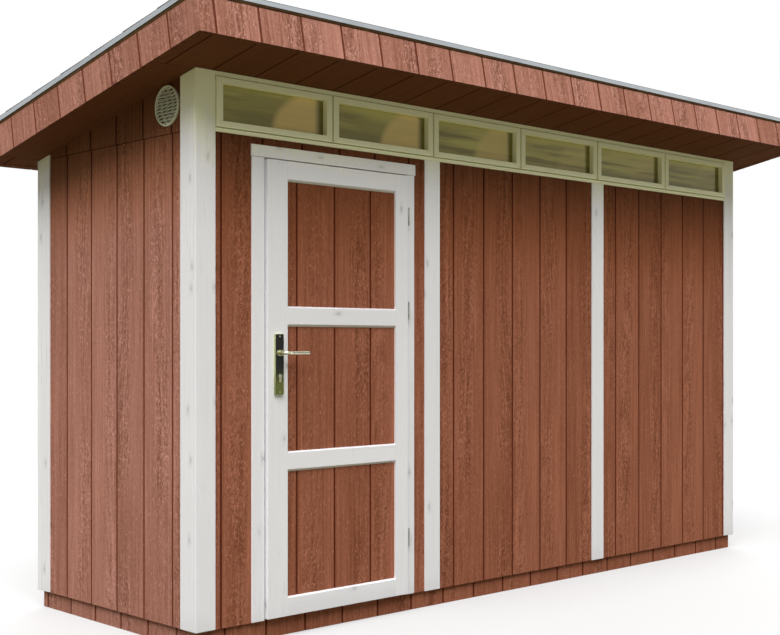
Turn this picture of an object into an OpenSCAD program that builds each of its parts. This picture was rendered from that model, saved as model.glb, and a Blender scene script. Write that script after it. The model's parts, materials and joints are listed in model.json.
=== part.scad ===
/* [Overall] */
// Width of the body over the corner boards
body_w = 3700; // [2800:10:5200]
// Depth of the body over the corner boards
body_d = 1212; // [1000:2:1800]
// Height of the plinth under the wall sheets
plinth_h = 74; // [50:1:150]
// Height of the lower wall sheets
sheet_h = 1896; // [1850:2:2300]
// Height of the window band over the front sheets
transom_h = 231.5; // [200:0.5:320]
// Fall of the roof towards the back, in degrees
roof_pitch = 10.85; // [4:0.05:14]

/* [Floor] */
// Thickness of the plinth boards
plinth_t = 15; // [10:1:30]
// First groove of a plinth board at the ends, from its back end
plinth_end_groove = 20; // [10:1:200]
// Width of a floor joist
joist_w = 45; // [30:1:70]
// Number of floor joists, an odd number so that one is central
joist_n = 7; // [5:2:11]
// Thickness of the floor deck
deck_t = 18; // [12:1:28]

/* [Walls] */
// Thickness of the grooved wall sheets
sheet_t = 15; // [10:1:24]
// How far the trim boards stand proud of the sheets
trim_proud = 6; // [3:1:12]
// Depth of a wall stud
stud_d = 45; // [38:1:70]
// Width of a wall stud
stud_w = 45; // [35:1:60]
// Distance between two grooves of a sheet
groove_pitch = 200; // [100:1:300]
// Width of a groove at the face
groove_w = 8; // [4:0.5:14]
// Depth of a groove
groove_depth = 5; // [2:0.5:8]
// First groove of the door bay, from the left corner
door_bay_groove = 121; // [100:1:200]
// First groove of the plain bays, from the left corner
plain_bay_groove = 1402; // [1340:1:1500]
// First groove of a side wall, from the front corner
side_groove = 162; // [120:1:300]
// First groove of a gable, from the front corner
gable_groove = 170; // [120:1:300]
// Open seam between a side sheet and the gable over it
gable_seam = 3; // [2:1:12]
// Room left where two boards or a board and a sloping piece meet
seat_gap = 0.2; // [0.1:0.05:0.5]

/* [Trim boards] */
// Width of a corner board on the front and the back
corner_w = 92.5; // [60:0.5:140]
// Width of a corner board on the sides
corner_side_w = 104; // [70:1:150]
// Width of a batten over the joint of two sheets
batten_w = 92.5; // [60:0.5:140]
// Middle of the batten beside the door, from the left corner
batten_1_x = 1262; // [1230:1:1400]
// Middle of the second batten, from the left corner
batten_2_x = 2447; // [2000:1:2600]

/* [Door] */
// Lock edge of the leaf, from the left corner
leaf_x = 333; // [240:1:360]
// Width of the leaf
leaf_w = 766; // [640:1:800]
// Height of the leaf
leaf_h = 1808; // [1700:1:1815]
// Thickness of the leaf
leaf_t = 28; // [24:1:33]
// How far the leaf stands proud of the trim boards
leaf_proud = 13; // [8:1:20]
// Gap round the leaf
leaf_gap = 6; // [5:0.5:10]
// Width of the stile at the lock
lock_stile_w = 99.5; // [90:0.5:130]
// Width of the stile at the hinges
hinge_stile_w = 73.5; // [60:0.5:120]
// Height of the top and middle rails
rail_h = 81; // [60:1:120]
// Height of the bottom rail
bottom_rail_h = 77; // [60:1:160]
// Height of the bevel under a rail
rail_bevel_h = 9; // [4:1:14]
// Height of the slope on top of a rail
rail_slope_h = 5; // [2:1:10]
// Number of panels one over another
panel_n = 3; // [2:1:4]
// How deep a panel lies behind the face of the leaf
panel_recess = 10; // [6:1:12]
// How deep a panel lies behind the back of the leaf
panel_back_recess = 3; // [0:1:5]
// First groove of a panel, from the lock stile
panel_groove = 54; // [20:1:150]
// Width of the casing left of the leaf
casing_w = 62; // [40:1:100]
// Width of the casing at the hinges
casing_hinge_w = 45; // [30:1:100]
// Height of the head casing
casing_head_h = 47; // [40:1:70]
// How far the head casing runs past the side casings
casing_head_over = 4; // [2:1:10]
// How far the head casing stands proud of the side casings
casing_head_proud = 3; // [1:1:6]
// How far the jamb studs reach in behind the leaf
stop_lap = 12; // [8:1:30]

/* [Door furniture] */
// Width of a handle plate
plate_w = 42; // [36:1:60]
// Height of a handle plate
plate_h = 240; // [180:1:280]
// Thickness of a handle plate
plate_t = 12; // [8:0.5:14]
// Radius of a handle plate's corners
plate_corner = 4; // [2:0.5:8]
// Step of the raised field from the edge of a handle plate
plate_step = 1.5; // [1:0.5:3]
// Height of the lever spindle over the bottom of the leaf
spindle_z = 1046; // [900:1:1150]
// How far the spindle lies under the top of the plate
spindle_drop = 75; // [50:1:100]
// Distance from the spindle down to the lock cylinder
lock_drop = 92; // [72:1:92]
// Radius of the round part of the lock cylinder
cylinder_r = 8.5; // [7:0.5:9]
// Width of the lock cylinder's lower part
cylinder_web_w = 10; // [8:0.5:11]
// Depth of the lock cylinder's lower part, from the middle of its round part
cylinder_web_h = 24; // [20:0.5:26]
// How far the lock cylinder stands proud of the plates
cylinder_proud = 3; // [1:0.5:5]
// Length of the lever from its spindle
lever_len = 124; // [100:1:140]
// How far the middle of the lever bar stands off its plate
lever_reach = 38; // [34:1:60]
// Radius of the lever bar
bar_r = 7; // [5:0.5:8]
// Radius of the bend between the neck and the bar
bend_r = 16; // [12:1:20]
// Radius of the lever's neck in its plate
neck_r = 8; // [7:0.5:10]
// Width of the oval collar on the neck
collar_w = 36; // [30:1:40]
// Height of the oval collar on the neck
collar_tall = 23; // [22:0.5:28]
// Radius of the rounded ends of the collar
collar_r = 10.5; // [6:0.5:10.5]
// Length of the collar on the neck
collar_h = 6; // [5:0.5:12]
// Height of a hinge
hinge_h = 77; // [60:1:120]
// Middle of the top hinge, under the top of the leaf
hinge_top_drop = 176; // [120:1:260]
// Middle of the second hinge, under the top of the leaf
hinge_mid_drop = 582; // [400:1:900]
// Middle of the low hinge, over the bottom of the leaf
hinge_low_rise = 246; // [120:1:300]
// Distance of the hinge axis from the edge of the leaf
hinge_out = 2; // [1:0.5:4]
// Radius of a hinge knuckle
knuckle_r = 3; // [3:0.5:6]
// Room between the knuckles and the face of the leaf
knuckle_clear = 1; // [0.5:0.5:3]
// Radius of a hinge pin
pin_r = 1.6; // [1.5:0.1:2.5]
// Thickness of the metal of a hinge
hinge_plate_t = 1.6; // [1:0.1:2.5]
// Depth of a hinge plate along the edge of the leaf
hinge_plate_d = 24; // [16:1:27]
// Running clearance round a pin or a neck
fit_gap = 0.1; // [0.05:0.01:0.3]

/* [Windows] */
// Number of sashes in the window band
sash_n = 6; // [4:1:8]
// Gap between two sashes
sash_gap = 8; // [5:0.5:14]
// Gap between the last sash and a corner board
sash_end_gap = 2; // [1:0.5:6]
// Open gap under and over the sashes
sash_clear = 2.5; // [2:0.5:8]
// How far the sashes stand proud of the trim boards
sash_proud = 6; // [0:1:12]
// Width of a sash stile
sash_stile_w = 29; // [20:1:45]
// Height of a sash rail
sash_rail_h = 24; // [18:0.5:40]
// Depth of a sash
sash_d = 45; // [30:1:50]
// How deep the glass lies behind the face of a sash
glass_recess = 25; // [20:1:36]
// Thickness of the glass
glass_t = 4; // [3:1:8]
// Height of the sill rail under the sashes
sill_h = 16.5; // [12:0.5:40]
// Height of the head rail over the sashes, at the face
head_h = 19; // [12:1:40]

/* [Vent] */
// Radius of the round vent in the left gable
vent_r = 79; // [50:1:85]
// Middle of the vent, from the front corner
vent_y = 192; // [190:1:300]
// Gap between the top of the vent and the soffit
vent_drop = 4; // [2:1:40]
// Thickness of the vent
vent_t = 10; // [6:1:20]
// Width of the vent's rim
vent_rim = 9; // [5:1:14]
// How far the vent laps over the hole in the gable
vent_lap = 15; // [10:1:25]
// Number of louvres
louvre_n = 11; // [5:1:15]
// Thickness of a louvre
louvre_t = 3; // [2:0.5:5]

/* [Roof] */
// Overhang at the front
front_overhang = 303; // [100:1:500]
// Overhang at the back
back_overhang = 100; // [60:1:300]
// Overhang at each side
side_overhang = 195; // [100:1:400]
// Height of the fascia boards
fascia_h = 135; // [110:1:200]
// How far the fascia boards hang below the soffits
fascia_drop = 6.5; // [0:0.5:15]
// Thickness of the fascia boards
fascia_t = 18; // [12:1:28]
// Thickness of the soffit sheets
soffit_t = 15; // [10:1:20]
// Open joint between two soffit sheets
soffit_joint = 3; // [2:0.5:6]
// First groove of the front fascia, from its left end
fascia_groove = 74; // [20:1:180]
// First groove of a fascia at the verges, from its back end
verge_groove = 43.5; // [20:0.5:180]
// Width of a rafter
rafter_w = 45; // [35:1:60]
// Number of rafters over the room
rafter_n = 7; // [5:1:11]
// Thickness of the roof deck
roof_deck_t = 15; // [12:1:24]
// Shadow gap between a fascia and the edge trim
shadow_gap = 12; // [8:1:16]
// Height of the metal edge trim
edge_h = 18; // [17:1:40]
// Thickness of the metal edge trim
edge_t = 2; // [1:0.5:3]
// Width of the trim's flange on the deck
edge_flange = 50; // [30:1:80]
// How far the trim stands out from the fascia
edge_out = 6; // [4:1:12]
// Distance between two laps of the roofing
course = 274; // [150:1:400]
// Thickness of the roofing at a lap
lap_t = 5; // [4:0.5:8]
// Thickness of the roofing just under a lap
felt_t = 2; // [1:0.5:3]

/* [Hidden] */
$fn = 48;
eps = 0.5;

siding_color = [0.59, 0.36, 0.29];
white_color = [0.87, 0.87, 0.86];
timber_color = [0.80, 0.67, 0.48];
metal_color = [0.78, 0.80, 0.81];
hinge_color = [0.62, 0.62, 0.60];
felt_color = [0.25, 0.26, 0.27];
glass_color = [0.72, 0.74, 0.60, 0.5];

// Faces of the body: corner boards, sheets and frame
x_left = -body_w / 2;
x_right = body_w / 2;
y_front = -body_d / 2;
y_back = body_d / 2;
trim_t = trim_proud + sheet_t;
x_frame = x_right - trim_t;
y_frame = y_front + trim_t;
y_frame_back = y_back - trim_t;

// Levels
floor_z = plinth_h + deck_t;
sheet_top = plinth_h + sheet_h;
wall_top = sheet_top + transom_h;
slope = tan(roof_pitch);
function soffit_z(y) = wall_top - (y - y_front) * slope;
soffit_rise = soffit_t / cos(roof_pitch);

// Doorway
leaf_left = x_left + leaf_x;
leaf_right = leaf_left + leaf_w;
leaf_bottom = plinth_h + leaf_gap;
leaf_top = leaf_bottom + leaf_h;
leaf_face = y_front - leaf_proud;
leaf_back = leaf_face + leaf_t;
reveal_left = leaf_left - leaf_gap;
reveal_right = leaf_right + leaf_gap;
casing_left = reveal_left - casing_w;
casing_right = reveal_right + casing_hinge_w;
head_bottom = leaf_top + leaf_gap;
head_top = head_bottom + casing_head_h;
stop_left = leaf_left + stop_lap;
stop_right = leaf_right - stop_lap;
stop_top = leaf_top - stop_lap;
panel_h = (leaf_h - panel_n * rail_h - bottom_rail_h) / panel_n;
panel_left = leaf_left + lock_stile_w;
panel_right = leaf_right - hinge_stile_w;
panel_t = leaf_t - panel_recess - panel_back_recess;

// Door furniture
spindle_x = leaf_left + lock_stile_w / 2;
spindle_height = leaf_bottom + spindle_z;
collar_clear = 0.3;
stile_bore_clear = 1;
hinge_x = leaf_right + hinge_out;
hinge_y = leaf_face - knuckle_r - knuckle_clear;
hinge_heights = [leaf_top - hinge_top_drop, leaf_top - hinge_mid_drop, leaf_bottom + hinge_low_rise];
frame_plate_x = reveal_right - hinge_plate_t - hinge_x;
leaf_plate_x = leaf_right - hinge_x;
pin_cap = 5;
pin_end_clear = 2;

// Window band
band_left = x_left + corner_w;
band_w = body_w - 2 * corner_w;
sash_pitch = (band_w + sash_gap - 2 * sash_end_gap) / sash_n;
sash_w = sash_pitch - sash_gap;
sill_top = sheet_top + sill_h;
head_rail_bottom = wall_top - head_h;
sash_bottom = sill_top + sash_clear;
sash_top = head_rail_bottom - sash_clear;
sash_h = sash_top - sash_bottom;
sash_face = y_front - sash_proud;

// Wall frame
plate_top_z = floor_z + stud_w;
plate_lift = soffit_rise - seat_gap;
back_plate_z = soffit_z(y_frame_back) + plate_lift - stud_w;

// Roof, measured along the slope from the front trim plane and square up from the soffit
roof_half_w = body_w / 2 + side_overhang;
v_front = -front_overhang / cos(roof_pitch);
v_back = (body_d + back_overhang) / cos(roof_pitch);
v_in_front = (trim_t - soffit_t * sin(roof_pitch)) / cos(roof_pitch);
v_in_back = (body_d - trim_t) / cos(roof_pitch);
edge_top = fascia_h - fascia_drop + shadow_gap + edge_h;
roof_deck_top = edge_top - edge_t - seat_gap;
rafter_top = roof_deck_top - roof_deck_t;
roofing_bottom = edge_top + seat_gap;
course_n = ceil((v_back - v_front) / course);

module in_roof() {
    translate([0, y_front, wall_top])
        rotate([-roof_pitch, 0, 0])
            children();
}

// Extrudes an outline drawn in depth and height along the width
module along_x(x, len) {
    translate([x, 0, 0])
        rotate([90, 0, 90])
            linear_extrude(len)
                children();
}

module box(low, high) {
    translate(low)
        cube(high - low);
}

// Plan of a sheet with its grooved face on the x axis
module grooved_plan(w, t, first) {
    difference() {
        square([w, t]);
        for (x = [first : groove_pitch : w - groove_w])
            polygon([
                [x - groove_w / 2, -eps],
                [x + groove_w / 2, -eps],
                [x + groove_w / 4, groove_depth],
                [x - groove_w / 4, groove_depth]
            ]);
    }
}

// First groove of a sheet that starts at x, on a grid that has a groove at grid_x
function first_groove(x, grid_x) =
    let (d = grid_x - x, r = d - groove_pitch * floor(d / groove_pitch))
    r < groove_w ? r + groove_pitch : r;

// Upright sheet on the front wall from x0 to x1
module front_sheet(x0, x1, z0, z1, grid_x) {
    translate([x0, y_front + trim_proud, z0])
        linear_extrude(z1 - z0)
            grooved_plan(x1 - x0, sheet_t, first_groove(x0, grid_x));
}

// Space under the soffit between two heights, as an outline in depth and height
module under_soffit(y0, y1, z0, z1, lift = -seat_gap) {
    intersection() {
        translate([y0, z0])
            square([y1 - y0, z1 - z0]);
        polygon([
            [y0, z0 - eps],
            [y1, z0 - eps],
            [y1, soffit_z(y1) + lift],
            [y0, soffit_z(y0) + lift]
        ]);
    }
}

// Upright sheet on the left wall, with its grooves outwards and one of them at grid_y from the front
module side_sheet(z0, z1, grid_y) {
    y0 = y_front + corner_side_w;
    y1 = y_back - corner_side_w;
    intersection() {
        translate([x_left + trim_proud, y1, z0])
            rotate([0, 0, -90])
                linear_extrude(z1 - z0)
                    grooved_plan(y1 - y0, sheet_t, first_groove(-y1, -(y_front + grid_y)));
        along_x(x_left, trim_t + eps)
            under_soffit(y0, y1, z0, z1);
    }
}

module to_right() {
    mirror([1, 0, 0])
        children();
}

module both_sides() {
    children();
    to_right()
        children();
}

// Floor

module plinth_board(len, first) {
    linear_extrude(plinth_h)
        grooved_plan(len, plinth_t, first);
}

module plinth_eaves() {
    len = 2 * x_frame;
    first = first_groove(0, len / 2 + groove_pitch / 2);
    color(siding_color) {
        translate([-x_frame, y_frame, 0])
            plinth_board(len, first);
        translate([x_frame, y_frame_back, 0])
            rotate([0, 0, 180])
                plinth_board(len, first);
    }
}

module plinth_ends() {
    len = y_frame_back - y_frame - 2 * plinth_t;
    color(siding_color)
        both_sides()
            translate([-x_frame, y_frame_back - plinth_t, 0])
                rotate([0, 0, -90])
                    plinth_board(len, plinth_end_groove);
}

module floor_joists() {
    reach = x_frame - plinth_t - joist_w / 2;
    color(timber_color)
        for (i = [0 : joist_n - 1])
            translate([-reach + i * 2 * reach / (joist_n - 1) - joist_w / 2, y_frame + plinth_t, 0])
                cube([joist_w, y_frame_back - y_frame - 2 * plinth_t, plinth_h]);
}

module floor_deck() {
    color(timber_color)
        box([-x_frame, y_frame, plinth_h], [x_frame, y_frame_back, floor_z]);
}

// Wall sheets

module siding_beside_door() {
    color(siding_color) {
        front_sheet(x_left + corner_w, casing_left, plinth_h, sheet_top, x_left + door_bay_groove);
        front_sheet(casing_right, x_left + batten_1_x - batten_w / 2, plinth_h, sheet_top,
            x_left + door_bay_groove);
    }
}

module siding_over_door() {
    color(siding_color)
        front_sheet(casing_left, casing_right, head_top, sheet_top, x_left + door_bay_groove);
}

module siding_middle() {
    color(siding_color)
        front_sheet(x_left + batten_1_x + batten_w / 2, x_left + batten_2_x - batten_w / 2,
            plinth_h, sheet_top, x_left + plain_bay_groove);
}

module siding_right_bay() {
    color(siding_color)
        front_sheet(x_left + batten_2_x + batten_w / 2, x_right - corner_w,
            plinth_h, sheet_top, x_left + plain_bay_groove);
}

module siding_left() {
    color(siding_color)
        side_sheet(plinth_h, sheet_top, side_groove);
}

module siding_right() {
    color(siding_color)
        to_right()
            side_sheet(plinth_h, sheet_top, side_groove);
}

function vent_z() = soffit_z(y_front + vent_y + vent_r * sin(roof_pitch))
    - vent_drop - vent_r * cos(roof_pitch);

module at_vent() {
    translate([x_left + trim_proud, y_front + vent_y, vent_z()])
        rotate([0, -90, 0])
            children();
}

module gables() {
    color(siding_color) {
        difference() {
            side_sheet(sheet_top + gable_seam, wall_top, gable_groove);
            at_vent()
                translate([0, 0, -sheet_t - eps])
                    cylinder(r = vent_r - vent_lap, h = sheet_t + 2 * eps);
        }
        to_right()
            side_sheet(sheet_top + gable_seam, wall_top, gable_groove);
    }
}

// Sheets of the back wall between two places on the width
module back_sheet(x0, x1) {
    intersection() {
        translate([x1, y_back - trim_proud, plinth_h])
            rotate([0, 0, 180])
                linear_extrude(sheet_h)
                    grooved_plan(x1 - x0, sheet_t, first_groove(-x1, -x_left - plain_bay_groove));
        along_x(x0 - eps, x1 - x0 + 2 * eps)
            under_soffit(y_frame_back - eps, y_back, plinth_h, sheet_top);
    }
}

module siding_back() {
    color(siding_color) {
        back_sheet(x_left + corner_w, x_left + batten_1_x - batten_w / 2);
        back_sheet(x_left + batten_1_x + batten_w / 2, x_left + batten_2_x - batten_w / 2);
        back_sheet(x_left + batten_2_x + batten_w / 2, x_right - corner_w);
    }
}

// Wall frame

module stud(x, y, z0, z1) {
    translate([x, y, z0])
        cube([stud_w, stud_d, z1 - z0]);
}

module studs_front() {
    middles = [x_left + batten_1_x, x_left + (batten_1_x + batten_2_x) / 2, x_left + batten_2_x,
        (x_left + batten_2_x + x_right) / 2];
    lefts = concat([-x_frame, stop_left - stud_w, stop_right, x_frame - stud_w],
        [for (m = middles) m - stud_w / 2]);
    color(timber_color)
        for (x = lefts)
            stud(x, y_frame, plate_top_z, stop_top);
}

module studs_back() {
    middles = [x_left + batten_1_x, x_left + (batten_1_x + batten_2_x) / 2, x_left + batten_2_x];
    lefts = concat([-x_frame, x_frame - stud_w], [for (m = middles) m - stud_w / 2]);
    color(timber_color)
        for (x = lefts)
            stud(x, y_frame_back - stud_d, plate_top_z, back_plate_z);
}

module studs_sides() {
    color(timber_color)
        both_sides()
            along_x(-x_frame, stud_d)
                under_soffit(-stud_w / 2, stud_w / 2, plate_top_z, wall_top, plate_lift - stud_w - seat_gap);
}

module plates_long() {
    color(timber_color) {
        box([-x_frame, y_frame, floor_z], [stop_left, y_frame + stud_d, plate_top_z]);
        box([stop_right, y_frame, floor_z], [x_frame, y_frame + stud_d, plate_top_z]);
        box([-x_frame, y_frame, stop_top], [x_frame, y_frame + stud_d, sheet_top]);
        box([-x_frame, y_frame_back - stud_d, floor_z], [x_frame, y_frame_back, plate_top_z]);
        along_x(-x_frame, 2 * x_frame)
            under_soffit(y_frame, y_frame + stud_d, sash_top, wall_top + soffit_rise, plate_lift);
        along_x(-x_frame, 2 * x_frame)
            under_soffit(y_frame_back - stud_d, y_frame_back, back_plate_z, wall_top, plate_lift);
    }
}

module plates_sides() {
    y0 = y_frame + stud_d;
    y1 = y_frame_back - stud_d;
    color(timber_color)
        both_sides() {
            box([-x_frame, y0, floor_z], [-x_frame + stud_d, y1, plate_top_z]);
            along_x(-x_frame, stud_d)
                polygon([
                    [y0, soffit_z(y0) + plate_lift - stud_w],
                    [y1, soffit_z(y1) + plate_lift - stud_w],
                    [y1, soffit_z(y1) + plate_lift],
                    [y0, soffit_z(y0) + plate_lift]
                ]);
        }
}

// Trim boards

// Two boards at the front left corner: the one on the front laps over the edge of the one on the side
module corner_front() {
    along_x(x_left, corner_w)
        under_soffit(y_front, y_frame, plinth_h, wall_top);
    along_x(x_left, trim_t)
        under_soffit(y_frame + seat_gap, y_front + corner_side_w, plinth_h, wall_top);
}

// Two boards at the back left corner, lapped in the same way
module corner_back() {
    along_x(x_left, corner_w)
        under_soffit(y_frame_back, y_back, plinth_h, wall_top);
    along_x(x_left, trim_t)
        under_soffit(y_back - corner_side_w, y_frame_back - seat_gap, plinth_h, wall_top);
}

module corner_boards_front() {
    color(white_color)
        both_sides()
            corner_front();
}

module corner_boards_back() {
    color(white_color)
        both_sides()
            corner_back();
}

module battens() {
    color(white_color)
        for (m = [batten_1_x, batten_2_x]) {
            x0 = x_left + m - batten_w / 2;
            box([x0, y_front, plinth_h], [x0 + batten_w, y_frame, sheet_top]);
            along_x(x0, batten_w)
                under_soffit(y_frame_back, y_back, plinth_h, sheet_top);
        }
}

// Window band

module transom_rails() {
    color(white_color) {
        box([band_left, y_front, sheet_top], [band_left + band_w, y_frame + stud_d, sill_top]);
        along_x(band_left, band_w)
            under_soffit(y_front, y_frame, head_rail_bottom, wall_top);
    }
}

module transom_posts() {
    color(white_color)
        for (i = [0 : sash_n]) {
            x0 = band_left + sash_end_gap - sash_gap / 2 + i * sash_pitch - stud_w / 2;
            box([max(x0, -x_frame), sash_face + sash_d, sill_top],
                [min(x0 + stud_w, x_frame), y_frame + stud_d, sash_top]);
        }
}

// Outlines drawn in width and height at each sash become boards of the depth of a sash
module each_sash(depth) {
    for (i = [0 : sash_n - 1])
        translate([band_left + sash_end_gap + i * sash_pitch, sash_face + depth, sash_bottom])
            rotate([90, 0, 0])
                linear_extrude(depth)
                    children();
}

// The frame members meet in mitres at the corners of the sash
module sash_stiles() {
    stile = [[0, 0], [sash_stile_w, sash_rail_h], [sash_stile_w, sash_h - sash_rail_h], [0, sash_h]];
    color(white_color)
        each_sash(sash_d) {
            polygon(stile);
            translate([sash_w, 0])
                mirror([1, 0])
                    polygon(stile);
        }
}

module sash_rails() {
    foot = seat_gap;
    rail = [[foot, 0], [sash_w - foot, 0], [sash_w - sash_stile_w - foot, sash_rail_h],
        [sash_stile_w + foot, sash_rail_h]];
    color(white_color)
        each_sash(sash_d) {
            polygon(rail);
            translate([0, sash_h])
                mirror([0, 1])
                    polygon(rail);
        }
}

module window_panes() {
    color(glass_color)
        translate([0, glass_recess, 0])
            each_sash(glass_t)
                translate([sash_stile_w, sash_rail_h])
                    square([sash_w - 2 * sash_stile_w, sash_h - 2 * sash_rail_h]);
}

// Door

module casing_sides() {
    color(white_color) {
        box([casing_left, y_front, plinth_h], [reveal_left, y_frame, head_bottom]);
        box([reveal_right, y_front, plinth_h], [casing_right, y_frame, head_bottom]);
    }
}

module casing_head() {
    color(white_color) {
        box([casing_left, y_front, head_bottom], [casing_right, y_frame, head_top]);
        box([casing_left - casing_head_over, y_front - casing_head_proud, head_bottom],
            [casing_right + casing_head_over, y_front + trim_proud, head_top]);
    }
}

// Outline of the lock cylinder, upright, about the middle of its round part
module cylinder_outline(gap = 0) {
    circle(r = cylinder_r + gap);
    translate([-cylinder_web_w / 2 - gap, -cylinder_web_h - gap])
        square([cylinder_web_w + 2 * gap, cylinder_web_h + gap]);
}

module through_leaf(x, z, y0, y1) {
    translate([x, y1, z])
        rotate([90, 0, 0])
            linear_extrude(y1 - y0)
                children();
}

module leaf_stiles() {
    color(white_color) {
        difference() {
            box([leaf_left, leaf_face, leaf_bottom], [panel_left, leaf_back, leaf_top]);
            translate([spindle_x, leaf_back + eps, spindle_height])
                rotate([90, 0, 0])
                    cylinder(r = neck_r + stile_bore_clear, h = leaf_t + 2 * eps);
            through_leaf(spindle_x, spindle_height - lock_drop, leaf_face - eps, leaf_back + eps)
                cylinder_outline(stile_bore_clear);
        }
        box([panel_right, leaf_face, leaf_bottom], [leaf_right, leaf_back, leaf_top]);
    }
}

// Bottom of the panel counted from below
function panel_z(i) = leaf_bottom + bottom_rail_h + i * (panel_h + rail_h);

// Rail with a slope on top and a bevel below, where it meets a panel
module leaf_rail(z0, z1, bevel_h, slope_h) {
    along_x(panel_left, panel_right - panel_left)
        polygon([
            [leaf_back, z0],
            [leaf_back, z1],
            [leaf_face + panel_recess, z1],
            [leaf_face, z1 - slope_h],
            [leaf_face, z0 + bevel_h],
            [leaf_face + panel_recess, z0]
        ]);
}

module leaf_rails() {
    color(white_color) {
        leaf_rail(leaf_bottom, panel_z(0), 0, rail_slope_h);
        for (i = [0 : panel_n - 1]) {
            z0 = panel_z(i) + panel_h;
            leaf_rail(z0, z0 + rail_h, rail_bevel_h, i < panel_n - 1 ? rail_slope_h : 0);
        }
    }
}

module leaf_panels() {
    color(siding_color)
        for (i = [0 : panel_n - 1])
            translate([panel_left, leaf_face + panel_recess, panel_z(i)])
                linear_extrude(panel_h)
                    grooved_plan(panel_right - panel_left, panel_t, panel_groove);
}

// Rectangle about the middle with round corners
module rounded_outline(w, h, r) {
    square([w - 2 * r, h], center = true);
    square([w, h - 2 * r], center = true);
    for (sx = [-1, 1], sy = [-1, 1])
        translate([sx * (w / 2 - r), sy * (h / 2 - r)])
            circle(r = r);
}

// Front half of what is the same on both faces of the leaf, and its mirror image on the back
module both_faces() {
    children();
    translate([0, leaf_face + leaf_back, 0])
        mirror([0, 1, 0])
            children();
}

// Plate on the front face, with a raised field, bored for the neck and the lock cylinder
module handle_plate() {
    y0 = leaf_face - plate_t;
    middle_z = spindle_height + spindle_drop - plate_h / 2;
    difference() {
        union() {
            through_leaf(spindle_x, middle_z, y0 + plate_step, leaf_face)
                rounded_outline(plate_w, plate_h, plate_corner);
            through_leaf(spindle_x, middle_z, y0, leaf_face)
                rounded_outline(plate_w - 2 * plate_step, plate_h - 2 * plate_step, plate_corner);
        }
        translate([spindle_x, leaf_face + eps, spindle_height])
            rotate([90, 0, 0])
                cylinder(r = neck_r + fit_gap, h = plate_t + 2 * eps);
        through_leaf(spindle_x, spindle_height - lock_drop, y0 - eps, leaf_face + eps)
            cylinder_outline(fit_gap);
    }
}

module handle_plates() {
    color(metal_color)
        both_faces()
            handle_plate();
}

module lock_cylinder() {
    color(metal_color)
        through_leaf(spindle_x, spindle_height - lock_drop,
            leaf_face - plate_t - cylinder_proud, leaf_back + plate_t + cylinder_proud)
            cylinder_outline();
}

// Half of the lever, from the middle of the leaf out to the front: neck, collar, bend, bar and round tip
module lever_half() {
    neck_len = leaf_t / 2 + plate_t + lever_reach - bend_r;
    bar_len = lever_len - bend_r - bar_r;
    translate([spindle_x, leaf_face + leaf_t / 2, spindle_height])
        rotate([90, 0, 0]) {
            cylinder(r = neck_r, h = neck_len);
            translate([0, 0, leaf_t / 2 + plate_t + collar_clear])
                linear_extrude(collar_h)
                    rounded_outline(collar_w, collar_tall, collar_r);
            translate([bend_r, 0, neck_len])
                rotate([90, 0, 0])
                    rotate([0, 0, 90])
                        rotate_extrude(angle = 90)
                            translate([bend_r, 0])
                                circle(r = bar_r);
            translate([bend_r, 0, neck_len + bend_r])
                rotate([0, 90, 0]) {
                    cylinder(r = bar_r, h = bar_len);
                    translate([0, 0, bar_len])
                        sphere(r = bar_r);
                }
        }
}

module door_lever() {
    color(metal_color)
        both_faces()
            lever_half();
}

// Half a knuckle with its tab, from the middle of the hinge down
module half_knuckle(tab_x) {
    half = hinge_h / 2 - eps;
    translate([0, 0, -half - eps])
        cylinder(r = knuckle_r, h = half);
    translate([tab_x, 0, -half - eps])
        cube([hinge_plate_t, knuckle_r + knuckle_clear + 2 * eps, half]);
}

// Plate along the edge of the leaf or of the reveal, behind the knuckles
module hinge_plate(plate_x) {
    translate([plate_x, knuckle_r + knuckle_clear + eps, -hinge_h / 2])
        cube([hinge_plate_t, hinge_plate_d, hinge_h]);
}

module each_hinge() {
    for (z = hinge_heights)
        translate([hinge_x, hinge_y, z])
            children();
}

module hinge_frame_halves() {
    color(hinge_color)
        each_hinge() {
            half_knuckle(frame_plate_x);
            hinge_plate(frame_plate_x);
            translate([0, 0, -2 * eps])
                cylinder(r = pin_r, h = hinge_h / 2 - pin_cap + 2 * eps);
        }
}

module hinge_leaf_halves() {
    color(hinge_color)
        each_hinge()
            difference() {
                union() {
                    mirror([0, 0, 1])
                        half_knuckle(leaf_plate_x);
                    hinge_plate(leaf_plate_x);
                }
                cylinder(r = pin_r + fit_gap, h = hinge_h / 2 - pin_cap + pin_end_clear);
            }
}

// Vent

// A ring with louvres that slope down and out, open between them
module vent_grille() {
    open_r = vent_r - vent_rim;
    louvre_pitch = 2 * open_r / louvre_n;
    louvre_drop = louvre_pitch / 2;
    color(white_color)
        at_vent() {
            difference() {
                cylinder(r = vent_r, h = vent_t);
                translate([0, 0, -eps])
                    cylinder(r = open_r, h = vent_t + 2 * eps);
            }
            intersection() {
                cylinder(r = open_r + eps, h = vent_t - eps);
                for (i = [0 : louvre_n - 1])
                    translate([-open_r + (i + 0.5) * louvre_pitch, vent_r, 0])
                        rotate([90, 0, 0])
                            linear_extrude(2 * vent_r)
                                polygon([
                                    [0, 0],
                                    [louvre_t, 0],
                                    [louvre_t - louvre_drop, vent_t],
                                    [-louvre_drop, vent_t]
                                ]);
            }
        }
}

// Roof

module rafter(u) {
    box([u - rafter_w / 2, v_front + fascia_t + seat_gap, soffit_t],
        [u + rafter_w / 2, v_back - fascia_t - seat_gap, rafter_top - seat_gap]);
}

module rafters() {
    reach = x_frame - rafter_w / 2;
    verge = roof_half_w - fascia_t - rafter_w / 2;
    color(timber_color)
        in_roof() {
            for (i = [0 : rafter_n - 1])
                rafter(-reach + i * 2 * reach / (rafter_n - 1));
            rafter(-verge);
            rafter(verge);
        }
}

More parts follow.
